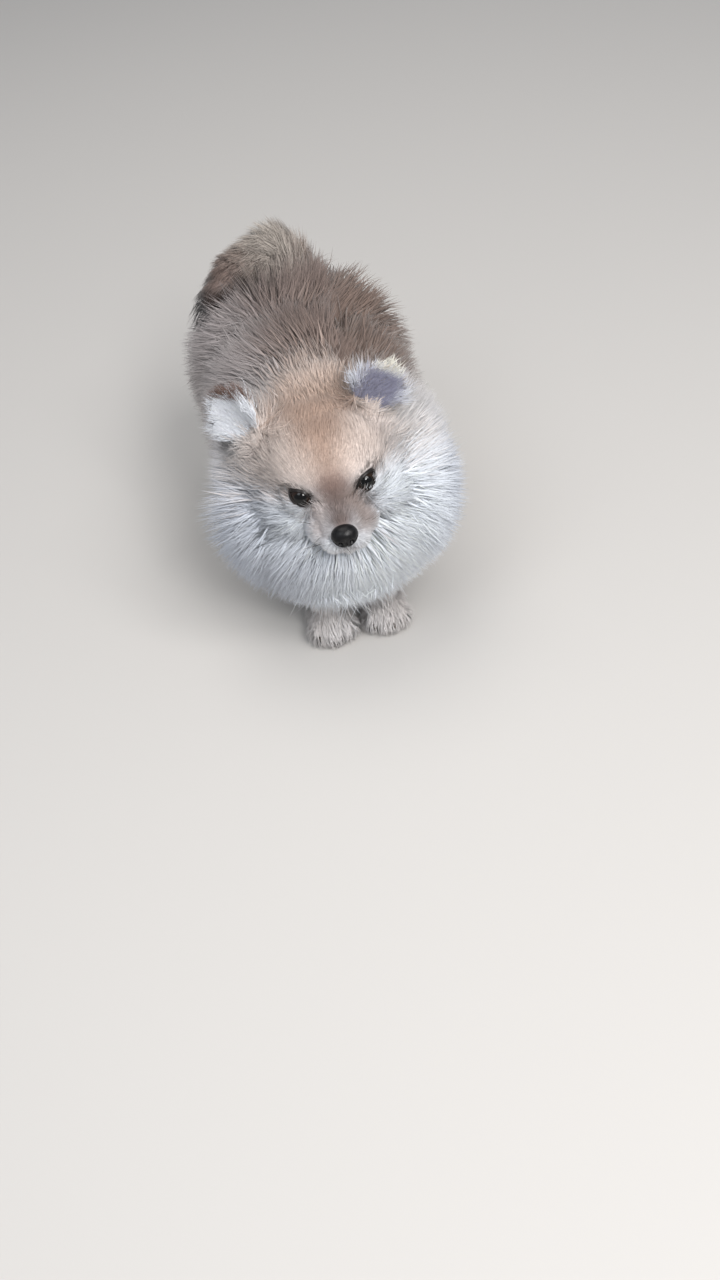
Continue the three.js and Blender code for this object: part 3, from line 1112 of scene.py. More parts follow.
@dataclass
class Nose:
    """The leather of the nose, with its nostrils and the groove below."""

    centre: Triple = (0.0, -26.4, -15.0)
    radii: Triple = (9.1, 7.2, 7.9)
    nostril: float = 3.0
    slit: float = 1.6
    wing: float = 0.45
    groove: float = 0.9

    def build(self, finish: bpy.types.Material) -> None:
        """Builds the nose in its leather.

        Args:
            finish: The leather.
        """
        bpy.ops.mesh.primitive_ico_sphere_add(subdivisions=6, radius=1.0)
        made = bpy.context.object
        made.name = made.data.name = "nose_leather"
        p = coordinates(made.data)
        x, y, z = p.T.copy()
        narrow = 1.0 - 0.34 * smooth(0.1, -1.0, z)
        head = np.column_stack([x * narrow, y, np.sign(z) * np.abs(z) ** 0.85]) * np.array(self.radii)
        front = smooth(0.0, -0.5, y)
        head[:, 1] += front * smooth(0.55, 0.0, np.hypot(x, z))
        for s in (-1, 1):
            hole = np.hypot((x - s * 0.43) / 0.17, (z + 0.12 + 0.25 * np.abs(x - s * 0.43)) / 0.2)
            slit, _ = along(np.column_stack([x, 0 * x, z]), (s * 0.46, 0, -0.16), (s * 0.86, 0, -0.02))
            dent = np.maximum(self.nostril * np.exp(-(hole**2)), self.slit * np.exp(-((slit / 0.1) ** 2)))
            wing = np.exp(-(((np.hypot(x - s * 0.45, z + 0.1) - 0.32) / 0.12) ** 2))
            head[:, 1] += (dent - self.wing * wing) * front
        head[:, 1] += self.groove * np.exp(-((x / 0.07) ** 2)) * smooth(0.25, -0.2, z) * front
        reshape(made.data, apply(HEAD, head + np.array(self.centre)))
        smoothed(made)
        settled(made, "nose_leather", finish, "nose")


@dataclass
class Claws:
    """Sixteen small claws, each a tapered curved horn let into its toe."""

    sides: int = 14
    rings: int = 10
    radius: float = 1.75
    rise: float = 1.05

    def build(self, finish: bpy.types.Material) -> None:
        """Builds every claw at its toe, inside the box of its node.

        Args:
            finish: The horn.
        """
        for leg in LEGS:
            word = f"{'fore' if leg.fore else 'hind'}_{leg.side.word}"
            for number, toe in enumerate(leg.toes(), start=1):
                node = f"claw_{word}_{number}"
                low, high = (to_work(np.array(v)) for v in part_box(node))
                tip = np.array([(low[0] + high[0]) / 2, low[1], low[2] + 0.3])
                root = np.array([toe[0] + (tip[0] - toe[0]) * 0.4, toe[1] - 4.0, toe[2] + 0.2])
                made = self.claw(f"horn_{word}_{number}", root, tip)
                smoothed(made)
                settled(made, "claw_horn", finish, node)

    def claw(self, name: str, root: np.ndarray, tip: np.ndarray) -> bpy.types.Object:
        """Builds one claw from its root to its tip.

        Args:
            name: The piece's name.
            root: Where the claw leaves the toe.
            tip: The claw's point.

        Returns:
            The claw.
        """
        points = []
        way = unit(tip - root)
        wide = unit(np.cross(way, [0, 0, 1.0]))
        tall = np.cross(wide, way)
        for t in (ring / self.rings for ring in range(self.rings)):
            centre = root + (tip - root) * t + np.array([0, 0, self.rise]) * math.sin(math.pi * t)
            radius = self.radius * (1 - t**1.7) + 0.12
            for side in range(self.sides):
                a = 2 * math.pi * side / self.sides
                points.append(centre + wide * math.cos(a) * radius * 0.72 + tall * math.sin(a) * radius)
        points.append(tip)
        faces = bands([ring * self.sides for ring in range(self.rings)], self.sides)
        last = (self.rings - 1) * self.sides
        faces += [(last + s, last + (s + 1) % self.sides, len(points) - 1) for s in range(self.sides)]
        faces.append(tuple(range(self.sides)))
        return mesh_object(name, to_row(np.array(points)), faces)


# Coat


class Zone(Enum):
    """A stretch of the coat that grows in one way."""

    MUZZLE = "muzzle"
    FACE = "face"
    EARS = "ears"
    RUFF = "ruff"
    BODY = "body"
    TAIL = "tail"
    LEGS = "legs"
    PAWS = "paws"


@dataclass(frozen=True)
class Growth:
    """One kind of hair in a zone: how many tufts, how thick, how far they reach and how they gather.

    The run along the skin is in millimetres for short hair, and a share of the rise for long hair.
    """

    name: str
    zone: Zone
    count: int
    width: float
    level: Pair
    run: Pair
    cap: float
    clump: float = 0.2
    clump_area: float = 45.0
    wave: float = 0.07
    stray: float = 0.0
    shade: Pair = (0.90, 1.07)
    short: bool = False


GROWTH = (
    Growth("muzzle", Zone.MUZZLE, 9000, 0.50, (0.8, 1.6), (3.2, 6.0), 1.8, 0.12, 6.0, stray=0.004,
           shade=(0.80, 1.12), short=True),
    Growth("face", Zone.FACE, 24500, 0.54, (0.45, 1.0), (0.9, 1.35), 36.0, 0.2, 16.0, wave=0.1, stray=0.003,
           shade=(0.84, 1.1)),
    Growth("ears", Zone.EARS, 9500, 0.42, (0.5, 1.3), (4.0, 8.5), 2.4, 0.3, 10.0, wave=0.2, short=True),
    Growth("ruff", Zone.RUFF, 29500, 0.60, (0.5, 1.0), (0.85, 1.35), 50.0, 0.26, 70.0, wave=0.12,
           stray=0.008),
    Growth("ruff_under", Zone.RUFF, 10500, 1.7, (0.35, 0.86), (0.7, 1.1), 46.0, 0.1, 60.0, wave=0.1),
    Growth("body", Zone.BODY, 29500, 0.64, (0.5, 1.0), (1.25, 1.95), 40.0, 0.24, 70.0, wave=0.1, stray=0.004),
    Growth("body_under", Zone.BODY, 10000, 1.8, (0.35, 0.84), (0.9, 1.4), 36.0, 0.1, 60.0, wave=0.1),
    Growth("tail", Zone.TAIL, 11500, 0.64, (0.45, 1.0), (0.9, 1.4), 26.0, 0.24, 50.0, wave=0.12, stray=0.008),
    Growth("legs", Zone.LEGS, 6000, 0.62, (0.5, 1.05), (6.0, 11.0), 5.5, 0.2, 14.0, short=True),
    Growth("paws", Zone.PAWS, 9500, 0.52, (1.2, 2.2), (5.0, 9.5), 2.4, 0.25, 14.0, shade=(0.86, 1.1),
           short=True),
)
STEPS = np.array([0.0, 0.55, 1.0])
TAPER = np.array([0.9, 0.8])


def mixed(share: np.ndarray, values: np.ndarray) -> np.ndarray:
    """Values at the corners of triangles, mixed by each corner's share."""
    return np.einsum("nk,nkd->nd", share, values)


def tuft_pattern() -> tuple[np.ndarray, np.ndarray]:
    """The ten triangles of a tuft: two rings of three corners and a tip.

    Returns:
        The triangles, and their corners on the tuft's patch of the map.
    """
    foot, waist = 0.12, 0.56
    faces, maps = [(0, 2, 1)], [((0.0, 0.0), (1.0, 0.0), (0.5, foot))]
    for s in range(3):
        n, u0, u1 = (s + 1) % 3, s / 3, (s + 1) / 3
        faces += [(s, n, 3 + n), (s, 3 + n, 3 + s)]
        maps += [((u0, foot), (u1, foot), (u1, waist)), ((u0, foot), (u1, waist), (u0, waist))]
    for s in range(3):
        faces.append((3 + s, 3 + (s + 1) % 3, 6))
        maps.append(((s / 3, waist), ((s + 1) / 3, waist), ((s + 0.5) / 3, 1.0)))
    return np.array(faces), np.array(maps).reshape(-1, 2) * TUFT_PATCH


@dataclass
class Roots:
    """Where tufts grow: one row for each."""

    work: np.ndarray
    normal: np.ndarray
    depth: np.ndarray
    uv: np.ndarray

    @property
    def head(self) -> np.ndarray:
        """The roots in the head's frame."""
        return on_head(self.work)

    def chosen(self, rows: np.ndarray) -> Roots:
        """Some of the roots."""
        return Roots(self.work[rows], self.normal[rows], self.depth[rows], self.uv[rows])


@dataclass
class Tufts:
    """Grown tufts: points (tuft, corner, xyz) in working millimetres, colours, normals and roots' UVs."""

    points: np.ndarray
    colours: np.ndarray
    uv: np.ndarray
    facing: np.ndarray


def hollow(head: np.ndarray) -> np.ndarray:
    """How much longer hair grows, in millimetres, to fill the hollow between the cheeks and the ruff."""
    away = size_of(head - np.array([0.0, -5.0, -20.0]))
    return 5.0 * (smooth(38, 50, away) * smooth(76, 62, away) * smooth(14, 2, head[:, 2]))


def fullness(head: np.ndarray) -> np.ndarray:
    """How far the face's short hair has given way to the ruff's: 0 at the eyes, 1 at the cheeks.

    Args:
        head: Points in the head's frame.

    Returns:
        A share for each point.
    """
    x, y, z = np.abs(head[:, 0]), head[:, 1], head[:, 2]
    below = smooth(7, -12, z)
    low = smooth(13, 31, x + 0.6 * np.maximum(y, 0))
    top = smooth(10, 46, 0.75 * x + 0.5 * y)
    return below * low + (1 - below) * top


@dataclass
class Coat:
    """The dog's coat: joined meshes of thin closed tufts, from the skin out to the solids' outline."""

    skin: bpy.types.Object
    eyes: list[Eye]
    mouth: Mouth
    most_triangles: int = 190_000
    depth_rounds: int = 14
    ray_length: float = 0.08
    unmet_depth: float = 2.0
    least_depth: float = 0.8
    mingling: float = 4.0
    furthest_pull: float = 12.0
    surface_share: float = 0.62
    stray_allowance: float = 4.5
    furthest_trim: float = 60.0

    def __post_init__(self) -> None:
        """Reads the skin and measures the coat's depth over it."""
        self.random = np.random.default_rng(SEED)
        mesh = self.skin.data
        mesh.calc_loop_triangles()
        self.corner = column(mesh.loop_triangles, "vertices", 3, np.int32)
        loops = column(mesh.loop_triangles, "loops", 3, np.int32)
        self.uv = column(mesh.uv_layers[UV_NAME].data, "uv", 2)[loops]
        self.point = to_work(coordinates(mesh))
        self.normal = column(mesh.vertex_normals, "vector", 3)
        a, b, c = (self.point[self.corner[:, i]] for i in range(3))
        self.area = size_of(np.cross(b - a, c - a)) / 2
        self.centre = (a + b + c) / 3
        self.outline = self.solids()
        self.depth = self.measure(column(mesh.edges, "vertices", 2, np.int32))
        self.zone = self.zones(self.centre)

    def solids(self) -> BVHTree:
        """The solids that bound the coat, as one search tree without the faces where they meet.

        Returns:
            The search tree.
        """
        other = ("claw", "eye", "ear", "paw", "nose")
        flesh = [node.data for name, node in frame["nodes"].items() if not name.startswith(other)]
        trees = [search_tree(mesh) for mesh in flesh]
        points, faces = [], []
        for mesh, own in zip(flesh, trees):
            first = len(points)
            points += [tuple(v.co) for v in mesh.vertices]
            for face in mesh.polygons:
                ahead = face.center + face.normal * MM
                near = [tree.find_nearest(ahead) for tree in trees if tree is not own]
                if all((ahead - place).dot(normal) > 0 for place, normal, _, _ in near):
                    faces.append(tuple(first + i for i in face.vertices))
        return BVHTree.FromPolygons(points, faces)

    def measure(self, edges: np.ndarray) -> np.ndarray:
        """The way from each point of the skin out to the solids' outline.

        Args:
            edges: The two points of each of the skin's edges, over which the depth is evened out.

        Returns:
            A depth for each point, in millimetres.
        """
        start = self.ray_length
        found = np.full(len(self.point), self.unmet_depth)
        for i, (p, n) in enumerate(zip(to_row(self.point), self.normal)):
            way = Vector(n)
            hit = self.outline.ray_cast(Vector(p) + way * start, -way, start)
            if hit[0] is not None:
                found[i] = (start - hit[3]) / MM
        share = np.bincount(edges.ravel(), minlength=len(found))
        for _ in range(self.depth_rounds):
            total = np.bincount(edges[:, 0], found[edges[:, 1]], len(found))
            total += np.bincount(edges[:, 1], found[edges[:, 0]], len(found))
            found = 0.4 * found + 0.6 * total / np.maximum(share, 1)
        return np.maximum(found, self.least_depth)

    def zones(self, work: np.ndarray) -> np.ndarray:
        """The zone of each point, as a number in the order of Zone, with mingled borders.

        Args:
            work: Working points, one a row.

        Returns:
            A zone's number for each point.
        """
        order = {zone: number for number, zone in enumerate(Zone)}
        loose = work + self.random.normal(size=work.shape) * self.mingling
        x, y, z = work.T
        zone = np.full(len(work), order[Zone.BODY])
        zone[loose[:, 1] < -44] = order[Zone.RUFF]
        for leg in LEGS:
            zone[(np.hypot(x - leg.x, (y - leg.y - 10) * 0.8) < 26) & (z < 52)] = order[Zone.LEGS]
        zone[z < 24] = order[Zone.PAWS]
        tail = np.min([along(work, a, b)[0] for a, b in zip(TAIL_LINE[1:], TAIL_LINE[2:])], axis=0)
        zone[(tail < 13) | ((along(work, *TAIL_LINE[:2])[0] < 13) & (z > 165))] = order[Zone.TAIL]
        lx, ly, lz = on_head(loose).T
        face = (ly < 50) & (np.hypot(lx / 44, (lz - 2) / 36) < 1) & (lz > -24 - 0.3 * ly)
        face |= (ly < 6) & (np.abs(lx) < 34) & (lz > -46)
        zone[face] = order[Zone.FACE]
        hx, hy, hz = on_head(work).T
        front = (ly < -3 - 0.1 * np.abs(lx)) & (hy < 4)
        zone[front & (np.abs(hx) < 24) & (hz < -1) & (hz > -42)] = order[Zone.MUZZLE]
        for side in Side:
            ex, ey, ez = Ear(side).seen(work).T
            about = (np.abs(ex) < 26) & (np.abs(ey - 3) < 15)
            zone[about & (ez > -16) & (ez < 6)] = order[Zone.FACE]
            zone[about & (ez > -4 + 2 * np.sin(ex / 2.1)) & (ez < 46)] = order[Zone.EARS]
        return zone

    def crowding(self, zone: Zone, rows: np.ndarray) -> np.ndarray:
        """How closely tufts stand on each of a zone's triangles.

        Args:
            zone: The zone.
            rows: The zone's triangles.

        Returns:
            A weight for each triangle.
        """
        centre = self.centre[rows]
        head = on_head(centre)
        if zone in (Zone.RUFF, Zone.BODY):
            chin = size_of(head - np.array([0.0, -8.0, -34.0]))
            return (0.35 + self.depth[self.corner[rows, 0]] / 24) ** 1.5 * (1 + 2.4 * smooth(62, 30, chin))
        if zone is Zone.EARS:
            rim = np.min([np.abs(np.abs(Ear(side).seen(centre)[:, 0]) - 16) for side in Side], axis=0)
            return 1 + 1.5 * smooth(6, 1, rim)
        if zone is Zone.FACE:
            base = np.min([size_of(head - np.array(place)) for place, _ in EAR_PLACE.values()], axis=0)
            return 1 + 2.2 * (1 - fullness(head)) * smooth(26, -2, head[:, 1]) + 1.2 * smooth(30, 12, base)
        return np.ones(len(rows))

    def roots(self, growth: Growth) -> Roots:
        """Scatters roots over a growth's zone.

        Args:
            growth: The kind of hair.

        Returns:
            The roots, without those over an eye, the nose or the lips.
        """
        rows = np.flatnonzero(self.zone == list(Zone).index(growth.zone))
        weight = self.area[rows] * self.crowding(growth.zone, rows)
        count = growth.count
        picked = rows[self.random.choice(len(rows), count, p=weight / weight.sum())]
        r1, r2 = np.sqrt(self.random.random(count)), self.random.random(count)
        share = np.column_stack([1 - r1, r1 * (1 - r2), r1 * r2])
        corner = self.corner[picked]
        depth = np.einsum("nk,nk->n", share, self.depth[corner])
        place, normal = mixed(share, self.point[corner]), unit(mixed(share, self.normal[corner]))
        found = Roots(place, normal, depth, mixed(share, self.uv[picked]))
        head = found.head
        keep = found.work[:, 2] > 1.6
        for eye in self.eyes:
            reach, off = eye.opening(head)
            keep &= ~((reach < eye.radius + 2.4) & (off < 1.44))
        keep &= self.mouth.distance(head) > 0.8
        keep &= size_of((head - np.array(Nose.centre)) / np.array([9.8, 8.4, 8.6])) > 1.0
        return found.chosen(keep)

    def ears_at(self, roots: Roots) -> tuple[np.ndarray, np.ndarray, np.ndarray, np.ndarray]:
        """Each root in the frame of the ear on its side.

        Args:
            roots: The roots.

        Returns:
            The places, the normals, the sides' signs, and the frames' axes.
        """
        place, facing = np.empty_like(roots.work), np.empty_like(roots.work)
        sign = np.where(roots.head[:, 0] > 0, 1.0, -1.0)
        axes = np.empty((len(sign), 3, 3))
        for side in Side:
            mine = sign == side.value
            turn = np.array(Ear(side).frame)[:3, :3]
            place[mine] = Ear(side).seen(roots.work[mine])
            facing[mine] = roots.normal[mine] @ turn
            axes[mine] = turn
        return place, facing, sign, axes

    def lie(self, zone: Zone, roots: Roots) -> np.ndarray:
        """The way that hair lies at each root, along the skin.

        Args:
            zone: The zone.
            roots: The tufts' roots.

        Returns:
            A way of length 1 for each root.
        """
        p, head = roots.work, roots.head
        x, y, z = p.T
        none = np.zeros(len(p))
        if zone in (Zone.MUZZLE, Zone.FACE):
            way = head - np.array([0.0, -31.0, -11.0])
            way[:, 2] += 8 * smooth(-6, 8, head[:, 2])
            way[:, 1] = np.maximum(way[:, 1], 4)
            way = way @ np.array(HEAD)[:3, :3].T
        elif zone is Zone.EARS:
            place, _, sign, axes = self.ears_at(roots)
            u = place[:, 0]
            edge = smooth(8, 17, np.abs(u)) * smooth(32, 16, place[:, 2])
            edge = edge * np.where((u < 0) & (sign < 0) | (u * sign > 0), 1.0, 0.75 * (sign > 0))
            spread = np.column_stack([u * 0.02 + 0.9 * np.sign(u) * edge, none - 0.1, none + 1])
            way = np.einsum("nij,nj->ni", axes, spread)
        elif zone is Zone.RUFF:
            way = unit(p - np.array([-9.0, -112.0, 134.0])) + np.array([0, 0.2, -0.2])
            way[:, 1] += smooth(-70, -30, y) * 1.2
        elif zone is Zone.BODY:
            across = x / 170 + 0.2 * np.sin(y / 23 + z / 31)
            way = np.column_stack([across, none + 1, -0.22 - 0.0085 * np.abs(x)])
        elif zone is Zone.TAIL:
            way, best = np.zeros_like(p), np.full(len(p), 1e9)
            for a, b in zip(TAIL_LINE, TAIL_LINE[1:]):
                distance, t = along(p, a, b)
                step = np.array(b, float) - np.array(a, float)
                nearer = distance < best
                way[nearer] = (unit(step) + 0.9 * unit(p - np.array(a) - t[:, None] * step))[nearer]
                best = np.minimum(best, distance)
        else:
            down = (0.0, 0.2, -1.0) if zone is Zone.LEGS else (0.0, -0.7, -0.45)
            way = np.tile(np.array(down), (len(p), 1))
        swirl = np.sin(p @ np.array([[0.11, -0.06, 0.05], [0.07, 0.09, -0.12], [-0.05, 0.10, 0.08]]))
        swirl *= 0.1 if zone in (Zone.MUZZLE, Zone.PAWS) else 0.2
        loose = (0.26 if zone is Zone.EARS else 0.14) * self.random.normal(size=way.shape) + swirl
        way = way + loose * np.linalg.norm(way, axis=1, keepdims=True)
        return unit(way - np.sum(way * roots.normal, axis=1, keepdims=True) * roots.normal)

    def ear_tone(self, roots: Roots, luck: np.ndarray) -> np.ndarray:
        """The ears' colours: pale inside with painted shade deep in the left ear's cup, tan behind, dark at
        the right tip and the left inner edge.

        Args:
            roots: The tufts' roots.
            luck: A random share for each root.

        Returns:
            A colour for each root.
        """
        place, facing, sign, _ = self.ears_at(roots)
        left = sign > 0
        u, t = place[:, 0] * sign / 19, (place[:, 2] + 8) / 38
        full = np.tile(np.array(EAR_PALE), (len(u), 1))
        # Painted shade: violet grey deep in the left ear's cup, towards its middle and base.
        pale = blend(full, EAR_CUP_SHADE, smooth(0.85, 0.5, np.abs(u)) * smooth(0.86, 0.66, t) * left)
        colour = blend(np.array(PALE_TAN), pale, smooth(0.15, -0.35, facing[:, 1]))
        rim = smooth(0.72, 0.9, np.where(left, t, t - 0.45 * u)) * (luck < 0.9)
        colour = blend(colour, np.where(left[:, None], np.array(EAR_RIM), np.array(EAR_TIP)), rim)
        return blend(colour, EAR_EDGE, smooth(-0.72, -0.9, u) * smooth(0.75, 0.55, t) * left * (luck < 0.8))

    def tone(
        self, growth: Growth, roots: Roots, outer: np.ndarray, level: np.ndarray, stray: np.ndarray
    ) -> tuple[np.ndarray, np.ndarray]:
        """The colours of each tuft, by the place where its middle shows, with painted shade on roots and on
        tufts lower in the coat.

        Args:
            growth: The kind of hair.
            roots: The tufts' roots.
            outer: The tufts' middles.
            level: How far out of the coat each reaches.
            stray: Which of them are stray hairs.

        Returns:
            The colours at the root and at the tip.
        """
        zone, count = growth.zone, len(roots.work)
        spread = np.clip(roots.depth * 0.22, 0.3, 6.0)[:, None]
        base = marked(outer + self.random.normal(size=outer.shape) * spread)
        luck = self.random.random(count)
        if zone is Zone.EARS:
            base = self.ear_tone(roots, luck)
        root = tip = base * between(growth.shade, self.random.random(count))[:, None]
        if zone in (Zone.BODY, Zone.TAIL, Zone.RUFF):
            sable = smooth(0.60, 0.36, base @ np.array([0.3, 0.5, 0.2]))
            dark, light = 0.5 + 0.3 * self.random.random(count), 1.02 + 0.2 * self.random.random(count)
            tip = tip * (1 + sable * (np.where(luck < 0.34, dark, light) - 1))[:, None]
            root = root * (1 + 0.1 * sable)[:, None]
        if zone is Zone.TAIL:
            # The tail tip's lower edge turns dark: dark tip fur with painted shadow where the tip lies on the
            # body.
            share = smooth(15, 7, along(outer, (-68, 92, 176), (-42, 86, 172))[0])
            root, tip = blend(root, SMOKE, share), blend(tip, BLACK_AND_SHADOW, share)
        if zone in (Zone.MUZZLE, Zone.FACE):
            head = roots.head
            seen = [eye.opening(head) for eye in self.eyes]
            near = [np.abs(off - 1.4) * 9 + np.maximum(reach - 12, 0) for reach, off in seen]
            rim = np.exp(-((np.min(near, axis=0) / 1.6) ** 2)) * 0.8
            root, tip = (self.mouth.darken(head, blend(c, LID, rim)) for c in (root, tip))
        if zone is Zone.MUZZLE:
            tip, root = (np.where(stray[:, None], np.array(BLACK_AND_SHADOW), c) for c in (tip, root))
        else:
            tip = np.where(stray[:, None], np.clip(tip * 1.15, 0, BRIGHTEST), tip)
        # Painted shade: roots outside the ruff darker than tips, and tufts lower in the coat darker than
        # those at its surface.
        depth_shade = ((root, 0.98 if zone is Zone.RUFF else 0.90), (tip, 0.95))
        return tuple(np.clip(c * (s + 0.08 * level)[:, None], 0, BRIGHTEST) for c, s in depth_shade)

    def reach(self, growth: Growth, roots: Roots) -> tuple[np.ndarray, np.ndarray, np.ndarray, np.ndarray]:
        """How far each tuft reaches.

        Args:
            growth: The kind of hair.
            roots: The tufts' roots.

        Returns:
            Each tuft's level in the coat, rise off the skin, run along the skin, and whether it is stray.
        """
        zone, count, random, head = growth.zone, len(roots.work), self.random.random, roots.head
        depth = np.minimum(roots.depth, growth.cap)
        if zone in (Zone.FACE, Zone.RUFF):
            depth = depth + hollow(head)
        level = between(growth.level, random(count) ** 0.75)
        rise = depth * level
        run = between(growth.run, random(count)) * (0.8 + 0.4 * random(count))
        stray = random(count) < growth.stray
        if zone is Zone.FACE:
            full, back = fullness(head), smooth(-5, 18, head[:, 1])
            rise = ((1.3 + 4.0 * back) * (1 - full) + np.maximum(depth, 6) * full) * level
            run = (3.6 + 7.5 * back) * run * (1 - full) + run * np.clip(rise, 14, 34) * full
        elif not growth.short:
            run = run * np.maximum(rise, 10.0)
        if zone is Zone.EARS:
            place, facing, _, _ = self.ears_at(roots)
            loose = smooth(0.0, -0.5, facing[:, 1]) * np.maximum(smooth(9, 16, np.abs(place[:, 0])), 0.25)
            run, rise = run * (1 + 1.3 * loose), rise * (1 + 1.9 * loose)
        if zone is Zone.PAWS:
            rise = rise + 1.3 * smooth(3, 11, roots.work[:, 2])
        if zone is Zone.MUZZLE:
            back = smooth(-15, -3, head[:, 1])
            rise, run = (rise + 0.3) * (1 + 1.8 * back), run * (1 + 0.9 * back)
            rise, run = np.where(stray, rise * 2.5, rise), np.where(stray, run * 2.6, run)
        return level, np.where(stray, rise * 1.08, rise), np.where(stray, run * 1.15, run), stray

    def tufts(self, growth: Growth) -> Tufts:
        """Grows one kind of hair, with normals that follow the coat's surface more than the tuft's own.

        Args:
            growth: The kind of hair.

        Returns:
            The tufts.
        """
        roots = self.roots(growth)
        count, random = len(roots.work), self.random.random
        level, rise, run, stray = self.reach(growth, roots)
        lie = self.lie(growth.zone, roots)
        bow = growth.wave * run * self.random.normal(size=count)
        lift = rise[:, None] * (1 - (1 - STEPS) ** 1.7) - (0.5 if growth.short else 0.8)
        centre = (
            roots.work[:, None]
            + roots.normal[:, None] * lift[..., None]
            + lie[:, None] * (run[:, None] * STEPS**1.25)[..., None]
            + np.cross(lie, roots.normal)[:, None] * (bow[:, None] * np.sin(STEPS * 2.2))[..., None]
        )
        centre = self.gather(centre, roots, growth, stray)
        if not growth.short:
            centre = self.trim(centre, roots, stray, growth.zone is Zone.FACE)
        centre[..., 2] = np.maximum(centre[..., 2], 2 * SOLE_Z)
        way = unit(np.diff(centre, axis=1))
        spin = (random(count) - 0.5)[:, None, None]
        flat = unit(np.cross(way, roots.normal[:, None] + 1e-4))
        ridge = np.cross(flat, way)
        wide = flat * np.cos(spin) + ridge * np.sin(spin)
        tall = ridge * np.cos(spin) - flat * np.sin(spin)
        size = growth.width / 2 * (0.7 + 0.6 * random(count))[:, None, None] * TAPER[None, :, None]
        size = np.where(stray[:, None, None], size * 0.6, size)
        ring = centre[:, :-1]
        corners = np.stack([ring + wide * size, ring - wide * size, ring + tall * size * 0.7], axis=2)
        points = np.concatenate([corners.reshape(count, -1, 3), centre[:, -1:]], axis=1)
        ways = np.stack([wide, -wide, tall], axis=2).reshape(count, -1, 3)
        own = (1 - self.surface_share) * np.concatenate([ways, way[:, -1:]], axis=1)
        facing = unit(self.surface_share * roots.normal[:, None] + own)
        root, tip = self.tone(growth, roots, centre[:, -2], level, stray)
        mix = np.append(np.repeat(STEPS[:-1], 3), 1.0)[None, :, None] ** 0.8
        return Tufts(points, root[:, None] * (1 - mix) + tip[:, None] * mix, roots.uv, facing)

    def gather(self, centre: np.ndarray, roots: Roots, growth: Growth, stray: np.ndarray) -> np.ndarray:
        """Draws neighbouring tufts together towards their tips, so that they form locks.

        Args:
            centre: The tufts' middle lines, in working millimetres.
            roots: The tufts' roots.
            growth: The kind of hair.
            stray: Which tufts are stray hairs.

        Returns:
            The lines, drawn together.
        """
        locks = max(1, int(len(roots.work) / max(1.0, growth.clump_area * 0.35)))
        leaders = self.random.choice(len(roots.work), locks, replace=False)
        tree = kdtree.KDTree(locks)
        for i, leader in enumerate(leaders):
            tree.insert(Vector(roots.work[leader]), i)
        tree.balance()
        nearest = np.array([tree.find(Vector(p))[1] for p in roots.work])
        pull = centre[leaders[nearest], -1] - centre[:, -1]
        pull = pull * np.minimum(1.0, self.furthest_pull / np.maximum(size_of(pull), 1e-6))[:, None]
        strength = growth.clump * (0.5 + self.random.random(len(centre))) * ~stray
        return centre + pull[:, None] * (strength[:, None] * STEPS**1.6)[..., None]

    def beyond(self, place: np.ndarray) -> tuple[float, Vector]:
        """How far a place lies outside the solids, in millimetres, and the way out there.

        Args:
            place: The place, in metres.

        Returns:
            The distance, below 0 inside the solids, and the way.
        """
        point = Vector(place)
        near, normal, _, _ = self.outline.find_nearest(point)
        return (point - near).dot(normal) / MM, normal

    def trim(self, centre: np.ndarray, roots: Roots, stray: np.ndarray, by_ears: bool) -> np.ndarray:
        """Draws in the tufts that stand outside the solids, round the ears further than their roots.

        Args:
            centre: The tufts' middle lines, in working millimetres.
            roots: The tufts' roots.
            stray: Which tufts are stray hairs.
            by_ears: Whether this hair grows round the ears.

        Returns:
            The lines, drawn in.
        """
        out = np.zeros((len(centre), 3))
        loose = 0.5 + 4.5 * self.random.random(len(centre)) ** 2
        allow = np.where(stray, self.stray_allowance, loose) + hollow(roots.head)
        shallow = (roots.depth < 4) & by_ears
        for i, (tip, root) in enumerate(zip(to_row(centre[:, -1]), to_row(roots.work))):
            excess, normal = self.beyond(tip)
            if shallow[i]:
                excess -= max(0.0, self.beyond(root)[0] + 4.0)
            if excess > allow[i]:
                out[i] = np.array(normal) * min(excess - allow[i], self.furthest_trim)
        return centre - out[:, None] * (STEPS**1.2)[None, :, None]

    def piece(self, name: str, grown: Tufts, rows: np.ndarray) -> bpy.types.Object:
        """Joins some tufts in one mesh.

        Args:
            name: The piece's name.
            grown: All tufts of one kind.
            rows: Which of them belong to the piece.

        Returns:
            The piece.
        """
        points = grown.points[rows]
        count, corners = points.shape[:2]
        faces, patch = tuft_pattern()
        index = (np.arange(count)[:, None, None] * corners + faces[None]).reshape(-1)
        mesh = bpy.data.meshes.new(name)
        mesh.vertices.add(count * corners)
        mesh.vertices.foreach_set("co", to_row(points.reshape(-1, 3)).ravel())
        mesh.loops.add(len(index))
        mesh.loops.foreach_set("vertex_index", index.astype(np.int32))
        mesh.polygons.add(len(index) // 3)
        mesh.polygons.foreach_set("loop_start", np.arange(0, len(index), 3, dtype=np.int32))
        mesh.polygons.foreach_set("use_smooth", np.ones(len(index) // 3, bool))
        mesh.update(calc_edges=True)
        mesh.validate()
        layer = mesh.uv_layers.new(name=UV_NAME)
        layer.data.foreach_set("uv", np.clip(grown.uv[rows][:, None] + patch[None], 0.0, 1.0).ravel())
        put_tone(mesh, grown.colours[rows].reshape(-1, 3))
        mesh.normals_split_custom_set_from_vertices(grown.facing[rows].reshape(-1, 3))
        return added(name, mesh)

